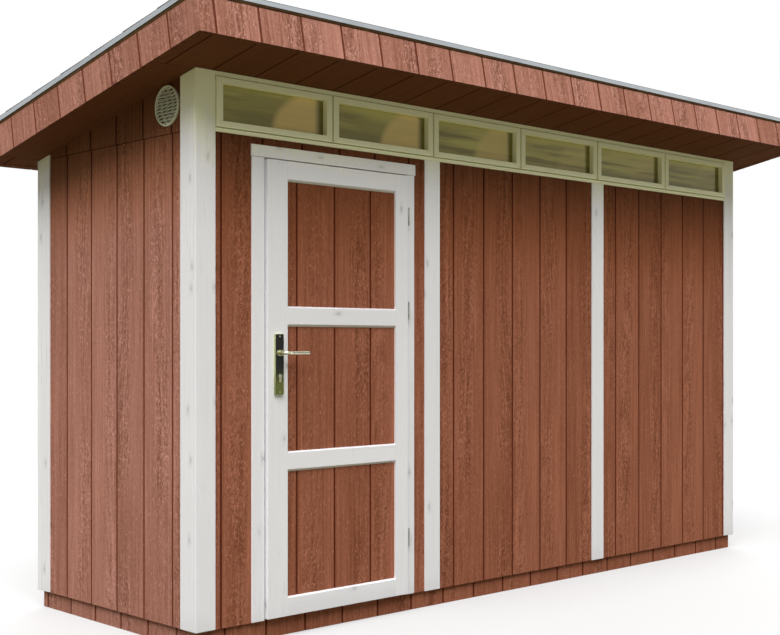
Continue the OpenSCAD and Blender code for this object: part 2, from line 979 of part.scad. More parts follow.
// Sheet of the soffit over a stretch of the slope, with grooves that run down the slope below
module soffit_sheet(u0, u1, v0, v1) {
    translate([u0, v1, 0])
        rotate([90, 0, 0])
            linear_extrude(v1 - v0)
                grooved_plan(u1 - u0, soffit_t, first_groove(u0, -roof_half_w + fascia_groove));
}

module soffit_eaves() {
    half = roof_half_w - fascia_t;
    color(siding_color)
        in_roof() {
            soffit_sheet(-half, half, v_front + fascia_t, v_in_front);
            soffit_sheet(-half, half, v_in_back, v_back - fascia_t);
        }
}

module soffit_verges() {
    color(siding_color)
        in_roof()
            both_sides()
                box([-roof_half_w + fascia_t, v_in_front + soffit_joint, 0],
                    [-x_frame - seat_gap, v_in_back - soffit_joint, soffit_t]);
}

module fascia_eaves() {
    color(siding_color)
        in_roof() {
            translate([-roof_half_w, v_front, -fascia_drop])
                linear_extrude(fascia_h)
                    grooved_plan(2 * roof_half_w, fascia_t, fascia_groove);
            translate([roof_half_w, v_back, -fascia_drop])
                rotate([0, 0, 180])
                    linear_extrude(fascia_h)
                        grooved_plan(2 * roof_half_w, fascia_t, fascia_groove);
        }
}

module fascia_verges() {
    len = v_back - v_front - 2 * (fascia_t + seat_gap);
    color(siding_color)
        in_roof()
            both_sides()
                translate([-roof_half_w, v_back - fascia_t - seat_gap, -fascia_drop])
                    rotate([0, 0, -90])
                        linear_extrude(fascia_h)
                            grooved_plan(len, fascia_t, verge_groove);
}

module roof_deck() {
    color(timber_color)
        in_roof()
            box([-roof_half_w, v_front, rafter_top], [roof_half_w, v_back, roof_deck_top]);
}

// Roofing seen from the side: each course rises to its lap and drops to the next one
module roofing_outline() {
    v0 = v_front - edge_out;
    v1 = v_back + edge_out;
    step = (v1 - v0) / course_n;
    laps = [for (i = [0 : course_n - 1]) each [
        [v0 + i * step, edge_top + felt_t],
        [v0 + (i + 1) * step, edge_top + lap_t]
    ]];
    polygon(concat([[v1, roofing_bottom], [v0, roofing_bottom]], laps));
}

// Roofing over the trim's flanges, and down on the deck between them
module roofing() {
    half = roof_half_w + edge_out;
    inset = edge_flange + seat_gap;
    color(felt_color)
        in_roof() {
            along_x(-half, 2 * half)
                roofing_outline();
            box([-roof_half_w + inset, v_front + inset, roof_deck_top + seat_gap],
                [roof_half_w - inset, v_back - inset, roofing_bottom + eps]);
        }
}

// Trim in section: a flange on the deck and a lip that hangs down outside the edge at 0
module edge_section() {
    translate([-edge_out, edge_top - edge_t])
        square([edge_out + edge_flange, edge_t]);
    translate([-edge_out, edge_top - edge_h])
        square([edge_t, edge_h]);
}

module edge_trim_eaves() {
    half = roof_half_w + edge_out - edge_t;
    color(metal_color)
        in_roof() {
            along_x(-half, 2 * half)
                translate([v_front, 0])
                    edge_section();
            along_x(-half, 2 * half)
                translate([v_back, 0])
                    mirror([1, 0])
                        edge_section();
        }
}

module edge_trim_verges() {
    v0 = v_front - edge_out;
    v1 = v_back + edge_out;
    half = roof_half_w;
    color(metal_color)
        in_roof()
            both_sides() {
                box([-half - edge_out, v0, edge_top - edge_h], [-half - edge_out + edge_t, v1, edge_top]);
                box([-half - edge_out + edge_t / 2, v_front + edge_flange + seat_gap, edge_top - edge_t],
                    [-half + edge_flange, v_back - edge_flange - seat_gap, edge_top]);
            }
}

plinth_eaves();
plinth_ends();
floor_joists();
floor_deck();
siding_beside_door();
siding_over_door();
siding_middle();
siding_right_bay();
siding_left();
siding_right();
gables();
siding_back();
studs_front();
studs_back();
studs_sides();
plates_long();
plates_sides();
corner_boards_front();
corner_boards_back();
battens();
transom_rails();
transom_posts();
sash_stiles();
sash_rails();
window_panes();
casing_sides();
casing_head();
leaf_stiles();
leaf_rails();
leaf_panels();
handle_plates();
lock_cylinder();
door_lever();
hinge_frame_halves();
hinge_leaf_halves();
vent_grille();
rafters();
soffit_eaves();
soffit_verges();
fascia_eaves();
fascia_verges();
roof_deck();
roofing();
edge_trim_eaves();
edge_trim_verges();
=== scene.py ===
import json
import math
from collections import namedtuple

import bmesh
import bpy
from bpy.props import FloatProperty, FloatVectorProperty, IntProperty, PointerProperty
from mathutils import Matrix, Vector

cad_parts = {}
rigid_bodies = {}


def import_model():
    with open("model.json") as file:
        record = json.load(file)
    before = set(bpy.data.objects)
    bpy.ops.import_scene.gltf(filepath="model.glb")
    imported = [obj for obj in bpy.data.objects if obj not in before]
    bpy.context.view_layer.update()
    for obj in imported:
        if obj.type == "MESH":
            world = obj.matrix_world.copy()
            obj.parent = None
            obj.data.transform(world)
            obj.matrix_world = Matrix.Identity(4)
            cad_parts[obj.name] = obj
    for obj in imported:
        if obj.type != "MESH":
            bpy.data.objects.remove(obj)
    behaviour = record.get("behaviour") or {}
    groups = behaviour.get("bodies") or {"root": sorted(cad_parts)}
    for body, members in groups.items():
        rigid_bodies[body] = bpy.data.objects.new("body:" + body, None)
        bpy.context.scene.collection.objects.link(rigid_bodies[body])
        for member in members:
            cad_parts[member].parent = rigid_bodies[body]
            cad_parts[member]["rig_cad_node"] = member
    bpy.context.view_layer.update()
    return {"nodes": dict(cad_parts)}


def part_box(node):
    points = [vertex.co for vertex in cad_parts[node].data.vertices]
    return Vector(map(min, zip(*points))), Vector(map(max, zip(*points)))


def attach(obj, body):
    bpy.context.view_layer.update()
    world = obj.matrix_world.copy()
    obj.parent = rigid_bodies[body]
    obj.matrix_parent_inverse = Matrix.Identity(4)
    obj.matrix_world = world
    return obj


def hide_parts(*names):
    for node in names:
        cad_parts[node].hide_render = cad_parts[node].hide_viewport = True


bl_info = {
    "name": "Garden Shed Finish",
    "version": (1, 0, 0),
    "blender": (4, 5, 0),
    "location": "View3D > Sidebar > Shed",
    "description": "Gives the pent-roof garden shed its stain, paint, metal, glass and small fittings",
    "category": "Object",
}

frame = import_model()

# Camera of the photo, in its pixels, with a sensor in millimetres.
PHOTO_WIDTH = 780
PHOTO_FOCAL = 1297.656
PHOTO_RISE = 25.8
PHOTO_ASIDE = -0.5
SENSOR_WIDTH = 36.0

# Stage, with lengths and places in metres.
VIEW_REACH = 500.0
FLOOR_SIZE = 120.0
FLOOR_DROP = 0.0005
FLOOR_FADE = (3.5, 9.0)
KEY_LIGHT_FROM = (-7.6, -7.0, 16.0)
BACK_LIGHT_FROM = (7.0, 6.0, 6.4)
SKY_WHITE = (1.0, 1.0, 1.0, 1.0)

# CAD nodes that are finished alike.
LONG_SHEETS = [
    "siding_beside_door", "siding_over_door", "siding_middle", "siding_right_bay", "leaf_panels",
    "siding_back", "plinth_eaves",
]
SIDE_SHEETS = ["siding_left", "siding_right", "gables", "plinth_ends"]
SOFFITS = ["soffit_eaves", "soffit_verges"]
UPRIGHT_TIMBER = ["studs_back", "studs_sides"]
LONG_TIMBER = ["plates_long", "floor_deck"]
DEEP_TIMBER = ["plates_sides", "floor_joists"]
EDGE_TRIMS = ["edge_trim_eaves", "edge_trim_verges"]
HINGES = ["hinge_frame_halves", "hinge_leaf_halves"]

# White paints, each with the axis of its boards and the height in metres where painted olive bounce light
# begins to show.
WHITE_PAINTS = {
    "white_upright": ("Z", 1.86),
    "white_level": ("X", 1.84),
    "damp_upright": ("Z", 1.66),
    "damp_level": ("X", 1.66),
}
# Boards with rounded edges, each with its body, its paint and the property that holds the rounding.
EASED_BOARDS = {
    "corner_boards_front": ("shed", "white_upright", "board_edge"),
    "corner_boards_back": ("shed", "white_upright", "board_edge"),
    "battens": ("shed", "white_upright", "board_edge"),
    "casing_sides": ("shed", "white_upright", "board_edge"),
    "casing_head": ("shed", "white_level", "board_edge"),
    "transom_rails": ("shed", "damp_level", "board_edge"),
    "leaf_stiles": ("door", "white_upright", "leaf_edge"),
    "leaf_rails": ("door", "white_level", "leaf_edge"),
    "sash_stiles": ("shed", "damp_upright", "leaf_edge"),
    "sash_rails": ("shed", "damp_level", "leaf_edge"),
}

# Grooves of the sheets, in metres. Their dark painted shade comes in from the first value to the second.
GROOVE_PITCH = 0.200
GROOVE_FOOT = 0.004
GROOVE_DEPTHS = (0.004, 0.006)
GROOVE_SHADE_DEEP = (0.0100, 0.0080)
GROOVE_SHADE_WIDE = (0.0060, 0.0042)

# Sawn boards, with lengths in metres. The far face counts its boards from a number of its own, and the
# grain takes a step from board to board.
FAR_FACE_COUNT = 31.0
GRAIN_STEP = 9.7
RING_TURNS = 82.0
SAWN_KNOT_ALONG = 0.60
SAWN_KNOT_ACROSS = 0.21
SAWN_RELIEF = 0.0042
INNER_FACE_SLACK = 0.0004

# Tones of a stain and of the bare inner face, as factors of red, green and blue. The groove tone is painted
# shade.
STAIN_DARK = (0.62, 0.54, 0.46)
STAIN_LIGHT = (1.38, 1.48, 1.60)
STAIN_PALE_FLECK = (1.80, 2.10, 2.45)
STAIN_DARK_FLECK = (0.50, 0.38, 0.30)
STAIN_KNOT_HALO = (0.66, 0.58, 0.50)
STAIN_KNOT = (0.40, 0.28, 0.22)
GROOVE_SHADE_TONE = (0.34, 0.17, 0.10)
BARE_DARK = (0.74, 0.66, 0.56)
BARE_LIGHT = (1.12, 1.16, 1.20)

# Painted shade under the roof: a darker stain that stands in for the shade of the eaves and verges. It comes
# in between two heights, in metres, with a waver, and a warmer tone leads it by a little. Without heights,
# only faces that look down have it, as painted shade under them.
UNDER_EAVES = (1.38, 2.25)
UNDER_VERGES = (1.62, 2.11)
EAVES_SHADE = 0.65
ROOF_SHADE_LEAD = 0.1
ROOF_SHADE_WAVER = 0.12
ROOF_SHADE_WARMTH = (1.0, 0.90, 0.74)
RoofShade = namedtuple("RoofShade", "stain heights slope", defaults=(None, 0.0))

# Marks on boards and metal, in metres, and the bands of painted olive light, painted shadow, painted
# highlight and painted reflection.
OLIVE_LIGHT_BAND = 0.30
SPLASH_HEIGHTS = (0.16, 0.07)
DECK_EDGE_SHADOW = (0.005, 0.001)
REFLECTION_START = 0.022
REFLECTION_RUN = 0.012
HUB_RUN = 0.006
PLATE_RIM_HIGHLIGHT = (0.0008, 0.0020)
REFLECTION_FOOT = 0.03

# Arc of painted reflection in a pane: middle and half axes, in widths and heights of the pane.
ARC_MIDDLE = (0.95, -0.20)
ARC_REACH = (0.46, 1.35)

# Modelling, with lengths in metres, angles in radians and shares of a radius, depth or pitch.
WELD = 0.00002
FLAT_ANGLE = math.radians(0.5)
SMOOTH_ANGLE = math.radians(35.0)
SHORTEST_ARRIS = 0.012
DULLEST_ARRIS = math.radians(20.0)
QUARTER_TURN = math.radians(90.0)
SCREW_SIDES = 24
SCREW_DEPTH = 0.0016
SCREW_CROWN = 0.0004
SLOT_DEPTH = 0.0008
SLOT_SHAPE = (0.35, 1.0, 1.9)
RIM_SIDES = 72
RIM_SHARE = 0.08
RIM_ROLL = 0.002
BLADE_THICKNESS = 0.0022
BLADE_OVERLAP = 0.003
BLADE_DEPTH_SHARE = 0.8
BLADE_DROP_SHARE = 0.80
WAVE_LENGTH = 0.038
WAVE_POINTS = 4


def roof_pitch():
    """Fall of the roof towards the back, from the upper face of its deck."""
    deck = frame["nodes"]["roof_deck"].data
    top = max(deck.polygons, key=lambda face: face.normal.z)
    return math.atan2(top.normal.y, top.normal.z)


def colour_property(name, description, default):
    """A colour that a user can change."""
    return FloatVectorProperty(name=name, description=description, default=default, subtype="COLOR",
                               size=3, min=0.0, max=1.0)


def length_property(name, description, default, low, high):
    """A length that a user can change."""
    return FloatProperty(name=name, description=description, default=default, min=low, max=high,
                         unit="LENGTH")


def strength_property(name, description, default, high):
    """A strength that a user can change."""
    return FloatProperty(name=name, description=description, default=default, min=0.0, max=high)


class ShedFinish(bpy.types.PropertyGroup):
    """Colours of the finishes, as linear values"""

    siding: colour_property(
        "Siding stain", "Red-brown stain on the grooved sheets", (0.298, 0.104, 0.0565))
    # Paler, bluer copy of the siding stain on the sides and the fascias: partly weather fading, partly
    # painted light of the brighter, bluer sky on the sides.
    faded_and_lit: colour_property(
        "Faded stain", "The stain where weather reaches it, on the sides and the fascias",
        (0.385, 0.168, 0.119))
    # Painted shade: a dark stain that stands in for the shade under the eaves and verges, and the whole
    # colour of the soffits.
    roof_shade_stain: colour_property(
        "Sheltered stain", "The dark stain that no weather reaches, close under the eaves",
        (0.130, 0.045, 0.0155))
    white: colour_property("White stain", "Opaque white on the trim boards", (0.80, 0.79, 0.815))
    # Painted light: an olive tint that stands in for green light thrown up onto the white boards under the
    # eaves.
    olive_light_tint: colour_property(
        "Algae tint", "Olive tint that damp leaves on white boards under the eaves", (0.98, 0.98, 0.65))
    timber: colour_property("Timber", "Planed timber of the frame", (0.56, 0.39, 0.22))
    felt: colour_property("Felt", "Mineral felt of the roofing", (0.060, 0.062, 0.066))
    edge_metal: colour_property("Edge metal", "Satin metal of the roof edge", (0.40, 0.43, 0.46))
    lever_metal: colour_property("Lever metal", "Warm nickel of the lever and the lock", (0.80, 0.78, 0.62))
    # Painted reflection: a dark olive band along the side of the lever.
    lever_dark_reflection: colour_property(
        "Lever tarnish", "Dark olive tarnish along the side of the lever", (0.050, 0.052, 0.025))
    # Painted reflection: the near-black of the plates and their olive lower part stand in for what polished
    # metal mirrors.
    plate_dark_reflection: colour_property(
        "Plate metal", "Dark polished metal of the handle plates", (0.012, 0.012, 0.010))
    plate_lower_reflection: colour_property(
        "Plate patina", "Olive patina on the lower part of a plate", (0.115, 0.125, 0.035))
    hinge_zinc: colour_property("Hinge zinc", "Dull zinc of the hinges", (0.36, 0.36, 0.33))
    hinge_stain: colour_property("Hinge stain", "Dark stains on the hinges", (0.15, 0.14, 0.11))
    # Painted reflection: the olive coat of the panes, its tan patches and streaks stand in for what the glass
    # reflects.
    glass: colour_property("Glass film", "Olive film on the old panes", (0.380, 0.335, 0.085))
    glass_pale: colour_property("Pale glass film", "Tan patches of the film", (0.950, 0.700, 0.270))
    glass_clear: colour_property("Clear glass", "Glass where no film covers it", (0.80, 0.83, 0.72))
    # Painted light: the olive cast of this white plastic stands in for olive bounce light under the eaves.
    vent: colour_property("Vent", "White plastic of the round vent", (0.68, 0.68, 0.52))


class ShedFittings(bpy.types.PropertyGroup):
    """Sizes of what is modelled over the frame"""

    board_edge: length_property(
        "Board edge", "Rounding of the edges of a trim board", 0.003, 0.0005, 0.006)
    leaf_edge: length_property(
        "Leaf edge", "Rounding of the edges of a stile, a rail or a sash", 0.0015, 0.0005, 0.003)
    screw_radius: length_property(
        "Screw radius", "Radius of a screw head on a handle plate", 0.0036, 0.002, 0.006)
    screw_inset: length_property(
        "Screw inset", "From the end of a handle plate to a screw", 0.010, 0.006, 0.02)
    plug_radius: length_property(
        "Key plug radius", "Radius of the turning plug of the lock", 0.0065, 0.004, 0.008)
    louvres: IntProperty(
        name="Louvres", description="Number of louvres of the vent", default=11, min=5, max=15)
    louvre_wave: length_property("Louvre wave", "Height of the waves of a louvre", 0.0026, 0.0, 0.004)


class ShedStage(bpy.types.PropertyGroup):
    """Camera, light and floor"""

    camera_place: FloatVectorProperty(
        name="Camera place", description="Where the camera stands", subtype="TRANSLATION", unit="LENGTH",
        size=3, default=(-4.6633, -4.6460, 1.1638))
    camera_turn: FloatProperty(
        name="Camera turn", description="Turn of the level camera from the depth of the shed",
        subtype="ANGLE", default=math.radians(-43.393))
    sky: strength_property("Sky", "Strength of the even light from all round", 0.28, 2.0)
    key: strength_property(
        "Key light", "Strength of the wide soft light high over the door end", 4.8, 20.0)
    back: strength_property("Back light", "Strength of the wide soft light behind the shed", 2.0, 20.0)
    softness: FloatProperty(
        name="Softness", description="Angle that each of the two lights fills", default=math.radians(54.0),
        min=0.0, max=math.pi, subtype="ANGLE")
    floor: colour_property("Floor", "Colour of the floor as it is seen", (0.40, 0.40, 0.40))
    floor_glow: strength_property("Floor glow", "Part of the seen floor that no shadow darkens", 0.32, 1.0)
    floor_bounce: colour_property(
        "Floor bounce", "Colour of the light that the floor throws up", (0.170, 0.165, 0.105))


class Sock:
    """A value in a node tree, so that shader maths reads as arithmetic."""

    def __init__(self, tree, socket):
        self.tree = tree
        self.socket = socket

    def math(self, operation, other=0.0, swapped=False):
        """Adds a Math node. An operation on one value alone leaves the other at 0."""
        pair = (other, self) if swapped else (self, other)
        return self.tree.node("ShaderNodeMath", {"operation": operation}, {0: pair[0], 1: pair[1]})

    def output(self, name):
        """Another output of the same node."""
        return Sock(self.tree, self.socket.node.outputs[name])

    def __add__(self, other):
        return self.math("ADD", other)

    __radd__ = __add__

    def __sub__(self, other):
        return self.math("SUBTRACT", other)

    def __rsub__(self, other):
        return self.math("SUBTRACT", other, swapped=True)

    def __mul__(self, other):
        return self.math("MULTIPLY", other)

    __rmul__ = __mul__

    def __truediv__(self, other):
        return self.math("DIVIDE", other)

    def __rtruediv__(self, other):
        return self.math("DIVIDE", other, swapped=True)


class Tree:
    """The node tree of one finish."""

    def __init__(self, owner):
        owner.use_nodes = True
        self.owner = owner
        self.nodes = owner.node_tree.nodes
        self.links = owner.node_tree.links
        self.nodes.clear()

    def node(self, kind, settings=None, inputs=None, out=0):
        """Adds a node, sets its settings first, then the values or links of its sockets."""
        made = self.nodes.new(kind)
        for name, value in (settings or {}).items():
            setattr(made, name, value)
        for name, value in (inputs or {}).items():
            if isinstance(value, Sock):
                self.links.new(value.socket, made.inputs[name])
            else:
                made.inputs[name].default_value = value
        return Sock(self, made.outputs[out]) if made.outputs else made

    def mix(self, first, second, factor, blend="MIX"):
        """Mixes two colours."""
        first, second = [c if isinstance(c, Sock) else (*c[:3], 1.0) for c in (first, second)]
        settings = {"data_type": "RGBA", "blend_type": blend, "clamp_factor": True}
        return self.node("ShaderNodeMix", settings, {0: factor, 6: first, 7: second}, out=2)

    def coats(self, tone, *coats):
        """Lays colours over a tone in turn, each as far as its mask says."""
        for colour, mask in coats:
            tone = self.mix(tone, colour, mask)
        return tone

    def fade(self, value, start, end, low=0.0, high=1.0):
        """Eases from low to high as the value goes from start to end."""
        inputs = {"Value": value, "From Min": start, "From Max": end, "To Min": low, "To Max": high}
        return self.node("ShaderNodeMapRange", {"interpolation_type": "SMOOTHSTEP"}, inputs)

    def place(self, tilt=0.0):
        """Place on the piece in metres, turned level where the piece follows the roof."""
        where = self.node("ShaderNodeTexCoord", out="Object")
        if tilt:
            where = self.node("ShaderNodeMapping", inputs={"Vector": where, "Rotation": (tilt, 0, 0)})
        return where

    def axes(self, where):
        """The three coordinates of a place."""
        x = self.node("ShaderNodeSeparateXYZ", inputs={0: where}, out="X")
        return [x, x.output("Y"), x.output("Z")]

    def rise(self):
        """How far the surface looks up: 1 where it lies flat, -1 where it hangs over."""
        return self.axes(self.node("ShaderNodeTexCoord", out="Normal"))[2]

    def noise(self, where, detail=4.0, roughness=0.55, distortion=0.0):
        """Soft random pattern with one wave per unit of the place."""
        inputs = {"Vector": where, "Scale": 1.0, "Detail": detail, "Roughness": roughness,
                  "Distortion": distortion}
        return self.node("ShaderNodeTexNoise", inputs=inputs, out="Fac")

    def grain(self, where, axis, along, across, offset=0.0, **look):
        """Noise that runs along one axis, with its waves per metre along and across it."""
        scale = [across] * 3
        scale["XYZ".index(axis)] = along
        inputs = {"Vector": where, "Scale": scale, "Location": (offset, offset, offset)}
        return self.noise(self.node("ShaderNodeMapping", inputs=inputs), **look)

    def cells(self, where, scale=1.0, dimensions="3D"):
        """Distance to the nearest of many scattered points, and a random value of that point."""
        settings = {"feature": "F1", "voronoi_dimensions": dimensions}
        inputs = {"Vector": where, "Scale": scale, "Randomness": 1.0}
        near = self.node("ShaderNodeTexVoronoi", settings, inputs, out="Distance")
        return near, near.output("Color")

    def chance(self, number):
        """A random value for each number."""
        return self.node("ShaderNodeTexWhiteNoise", {"noise_dimensions": "1D"}, {"W": number}, out="Value")

    def principled(self, sockets):
        return self.node("ShaderNodeBsdfPrincipled", inputs=sockets, out="BSDF")

    def finish(self, sockets, bump):
        """Ends the tree in one shader, with a bump that has a height, a strength and a depth in metres."""
        height, strength, depth = bump
        inputs = {"Height": height, "Strength": strength, "Distance": depth}
        normal = self.node("ShaderNodeBump", inputs=inputs, out="Normal")
        return self.surface(self.principled({**sockets, "Normal": normal}))

    def surface(self, shader):
        """Ends the tree in a shader and gives back the material."""
        self.node("ShaderNodeOutputMaterial", inputs={"Surface": shader})
        return self.owner


def new_finish(name):
    """The empty tree of a new material."""
    return Tree(bpy.data.materials.new(name))


def tint(colour, factors):
    """A tone of a colour with its own strength in each channel."""
    return tuple(min(1.0, c * factor) for c, factor in zip(colour, factors))


def shade(colour, factor):
    """A darker or lighter tone of a colour."""
    return tint(colour, (factor, factor, factor))


def knots(tree, where, axis, spacing, size, share):
    """Oval knots scattered along the grain: a mask of the knots, and one of the halos round them."""
    sides = dict(zip("XYZ", tree.axes(where)))
    along = sides.pop(axis)
    first, second = sides.values()
    inputs = {"X": along * (0.45 / spacing), "Y": (first - second) / spacing}
    near, luck = tree.cells(tree.node("ShaderNodeCombineXYZ", inputs=inputs), dimensions="2D")
    chosen = tree.fade(luck, 1.0 - share, 1.0 - share + 0.02)
    ragged = tree.grain(where, axis, along=60.0, across=140.0, detail=2.0)
    near = near + (ragged - 0.5) * size * 2.2
    core = tree.fade(near, size, size * 0.45)
    halo = tree.fade(near, size * 2.6, size * 0.9)
    return core * chosen, halo * chosen


def level_points(node, tilt=0.0):
    """Points of a CAD piece, turned level where it follows the roof."""
    level = Matrix.Rotation(tilt, 3, "X")
    return [level @ vertex.co for vertex in frame["nodes"][node].data.vertices]


def groove_grid(node, axes, tilt):
    """Outer faces of a sheet and the middle of the first groove in each, or None for a plain sheet."""
    points = level_points(node, tilt)
    across, depth = ["XYZ".index(axis) for axis in axes[1:]]
    low = min(point[depth] for point in points)
    high = max(point[depth] for point in points)
    shallow, deep = GROOVE_DEPTHS
    firsts = []
    for face, inward in ((low, 1.0), (high, -1.0)):
        feet = [point[across] for point in points if shallow < inward * (point[depth] - face) < deep]
        firsts.append(min(feet) + GROOVE_FOOT / 2 if feet else None)
    known = [first for first in firsts if first is not None]
    if not known:
        return low, high, None
    return low, high, [known[0] if first is None else first for first in firsts]


def paint_roof_shade(tree, stain, colour, roof_shade, level):
    """Paints shade into a stain: darker on faces that look down and, where it has heights, close under the
    roof.
    """
    down = tree.fade(tree.rise(), -0.6, -0.9)
    early = cover = down
    if roof_shade.heights:
        start, end = roof_shade.heights
        early = tree.fade(level, start - ROOF_SHADE_LEAD, (start + end) / 2).math("MAXIMUM", down)
        cover = tree.fade(level, start, end).math("MAXIMUM", down)
    ratio = [deep / plain / warm for deep, plain, warm in zip(roof_shade.stain, colour, ROOF_SHADE_WARMTH)]
    stain = tree.mix(stain, ROOF_SHADE_WARMTH, early, blend="MULTIPLY")
    return tree.mix(stain, ratio, cover, blend="MULTIPLY")


def sawn_stain(node, colour, axes, tilt=0.0, roof_shade=None, contrast=1.0, bare=None):
    """Matt stain on a rough-sawn sheet, where each board between two grooves has its own grain and knots.

    The three axes run along, across and into the boards. Bare is the colour of an inner face without stain.
    """
    tree = new_finish("sawn_" + node)
    low, high, firsts = groove_grid(node, axes, tilt)
    first_low, first_high = firsts or (0.0, 0.0)
    place = dict(zip("XYZ", tree.axes(tree.place(tilt))))
    along, across, depth = [place[axis] for axis in axes]
    far = depth.math("GREATER_THAN", (low + high) / 2)
    steps = (across - first_low - far * (first_high - first_low)) / GROOVE_PITCH
    board = steps.math("FLOOR") + far * FAR_FACE_COUNT
    luck = tree.chance(board)

    def pattern(wide, long, shift):
        """Place on a board, scaled across and along it."""
        inputs = {"X": across * wide, "Y": along * long, "Z": board * GRAIN_STEP + shift}
        return tree.node("ShaderNodeCombineXYZ", inputs=inputs)

    contour = tree.noise(pattern(wide=5.2, long=0.75, shift=0.0), detail=2.0, roughness=0.45, distortion=0.25)
    fibre = tree.noise(pattern(wide=100.0, long=1.8, shift=2.3), detail=4.0, roughness=0.65)
    tear = tree.noise(pattern(wide=78.0, long=40.0, shift=4.1), detail=5.0, roughness=0.68, distortion=0.5)
    fleck = tree.noise(pattern(wide=190.0, long=70.0, shift=5.6), detail=2.0, roughness=0.6)
    streak = tree.noise(pattern(wide=26.0, long=0.9, shift=6.9), detail=3.0)
    patch = tree.noise(pattern(wide=2.6, long=1.3, shift=8.2), detail=3.0)
    wander = tree.noise(pattern(wide=0.0, long=1.6, shift=3.3), detail=2.0)

    # The figure is the torn and ringed heart of a board, which wanders about its middle.
    aside = (steps.math("FRACT") - 0.5 + (wander - 0.5) * 0.9 + (luck - 0.5) * 0.8).math("ABSOLUTE")
    figure = tree.fade(aside, 0.38, 0.08) * tree.fade(patch, 0.36, 0.60, 0.25, 1.0)
    rings = (contour * RING_TURNS).math("SINE") * figure
    rough = (tear - 0.5) * tree.fade(figure, 0.0, 1.0, 0.4, 1.4)

    near, knot_luck = tree.cells(pattern(1.0 / SAWN_KNOT_ACROSS, 1.0 / SAWN_KNOT_ALONG, shift=1.4))
    chosen = tree.fade(knot_luck, 0.60, 0.62)
    core = tree.fade(near, 0.060, 0.025) * chosen
    halo = tree.fade(near, 0.180, 0.050) * chosen

    # Painted shade in the grooves: darkest deep in each groove, near its middle.
    groove = 0.0
    if firsts:
        inset = (depth - low).math("MINIMUM", high - depth)
        beside = ((steps + 0.5).math("FRACT") - 0.5).math("ABSOLUTE") * GROOVE_PITCH
        groove = tree.fade(inset, *GROOVE_SHADE_DEEP) * tree.fade(beside, *GROOVE_SHADE_WIDE)

    tone = (fibre - 0.5) * 1.3 + rough * 1.4 + rings * 0.20 + (streak - 0.5) * 0.6
    tone = 0.5 + (tone + (patch - 0.5) * 0.5 + (luck - 0.5) * 0.2) * contrast
    stain = tree.mix(tint(colour, STAIN_DARK), tint(colour, STAIN_LIGHT), tone)
    stain = tree.coats(
        stain,
        (tint(colour, STAIN_PALE_FLECK), tree.fade(fleck + figure * 0.06, 0.62, 0.72) * 0.7 * contrast),
        (tint(colour, STAIN_DARK_FLECK), tree.fade(fleck - figure * 0.05, 0.37, 0.27) * 0.6 * contrast),
        (tint(colour, STAIN_KNOT_HALO), halo * 0.5),
        (tint(colour, STAIN_KNOT), core * 0.8),
        (tint(colour, GROOVE_SHADE_TONE), groove * min(0.88, contrast)))
    # Painted shade close under the roof and on faces that look down.
    if roof_shade:
        level = along + across * roof_shade.slope + (patch - 0.5) * ROOF_SHADE_WAVER
        stain = paint_roof_shade(tree, stain, colour, roof_shade, level)
    if bare:
        inner = min(abs(point["XYZ".index(axes[2])]) for point in level_points(node, tilt))
        inside = depth.math("ABSOLUTE").math("LESS_THAN", inner + INNER_FACE_SLACK)
        stain = tree.mix(stain, tree.mix(tint(bare, BARE_DARK), tint(bare, BARE_LIGHT), tone), inside)

    relief = fibre * 0.5 + rough * 2.1 + rings * 0.15 - core * 0.4
    return tree.finish({
        "Base Color": stain,
        "Roughness": tree.fade(tear, 0.3, 0.8, 0.80, 0.95),
        "Specular IOR Level": 0.07,
    }, bump=(relief, 0.75 * contrast, SAWN_RELIEF))


def white_stain(name, colour, axis, olive_light_tint, eaves):
    """Opaque white on planed boards, with faint grain, knots and checks, and painted olive bounce light under
    the eaves.
    """
    tree = new_finish(name)
    where = tree.place()
    height = tree.axes(where)[2]
    fibre = tree.grain(where, axis, along=9.0, across=420.0, detail=3.0)
    streak = tree.grain(where, axis, along=1.3, across=60.0, offset=4.2, detail=5.0)
    patch = tree.grain(where, axis, along=1.6, across=5.0, offset=2.4, detail=3.0)
    check = tree.grain(where, axis, along=2.2, across=230.0, offset=9.0, detail=2.0)
    drip = tree.grain(where, "Z", along=7.0, across=75.0, offset=6.3, detail=3.0)
    core, halo = knots(tree, where, axis, spacing=0.125, size=0.060, share=0.52)
    checks = tree.fade(check, 0.70, 0.76) * tree.fade(patch, 0.46, 0.60)
    drips = tree.fade(drip, 0.60, 0.72) * tree.fade(patch, 0.46, 0.62)
    # Painted olive bounce light, coming in above the given height.
    olive_light = tree.fade(height + (patch - 0.5) * 0.35 + (drip - 0.5) * 0.15, eaves, eaves + OLIVE_LIGHT_BAND)
    splash = tree.fade(height + (patch - 0.5) * 0.16, *SPLASH_HEIGHTS)
    tone = tree.coats(
        colour,
        (shade(colour, 0.90), tree.fade(streak, 0.50, 0.74) * 0.4),
        (shade(colour, 1.05), tree.fade(patch, 0.50, 0.72) * 0.6),
        (shade(colour, 0.70), halo * 0.30),
        (shade(colour, 0.74), drips * 0.5),
        (shade(colour, 0.46), core * 0.45),
        (shade(colour, 0.34), checks * 0.75),
        (olive_light_tint, olive_light * 0.9),
        (shade(colour, 0.70), splash * 0.25))
    return tree.finish({
        "Base Color": tone,
        "Roughness": tree.fade(streak, 0.3, 0.8, 0.46, 0.66),
        "Specular IOR Level": 0.35,
    }, bump=(fibre * 0.35 + streak * 0.65 - checks * 0.8 - core * 0.3, 0.35, 0.0008))


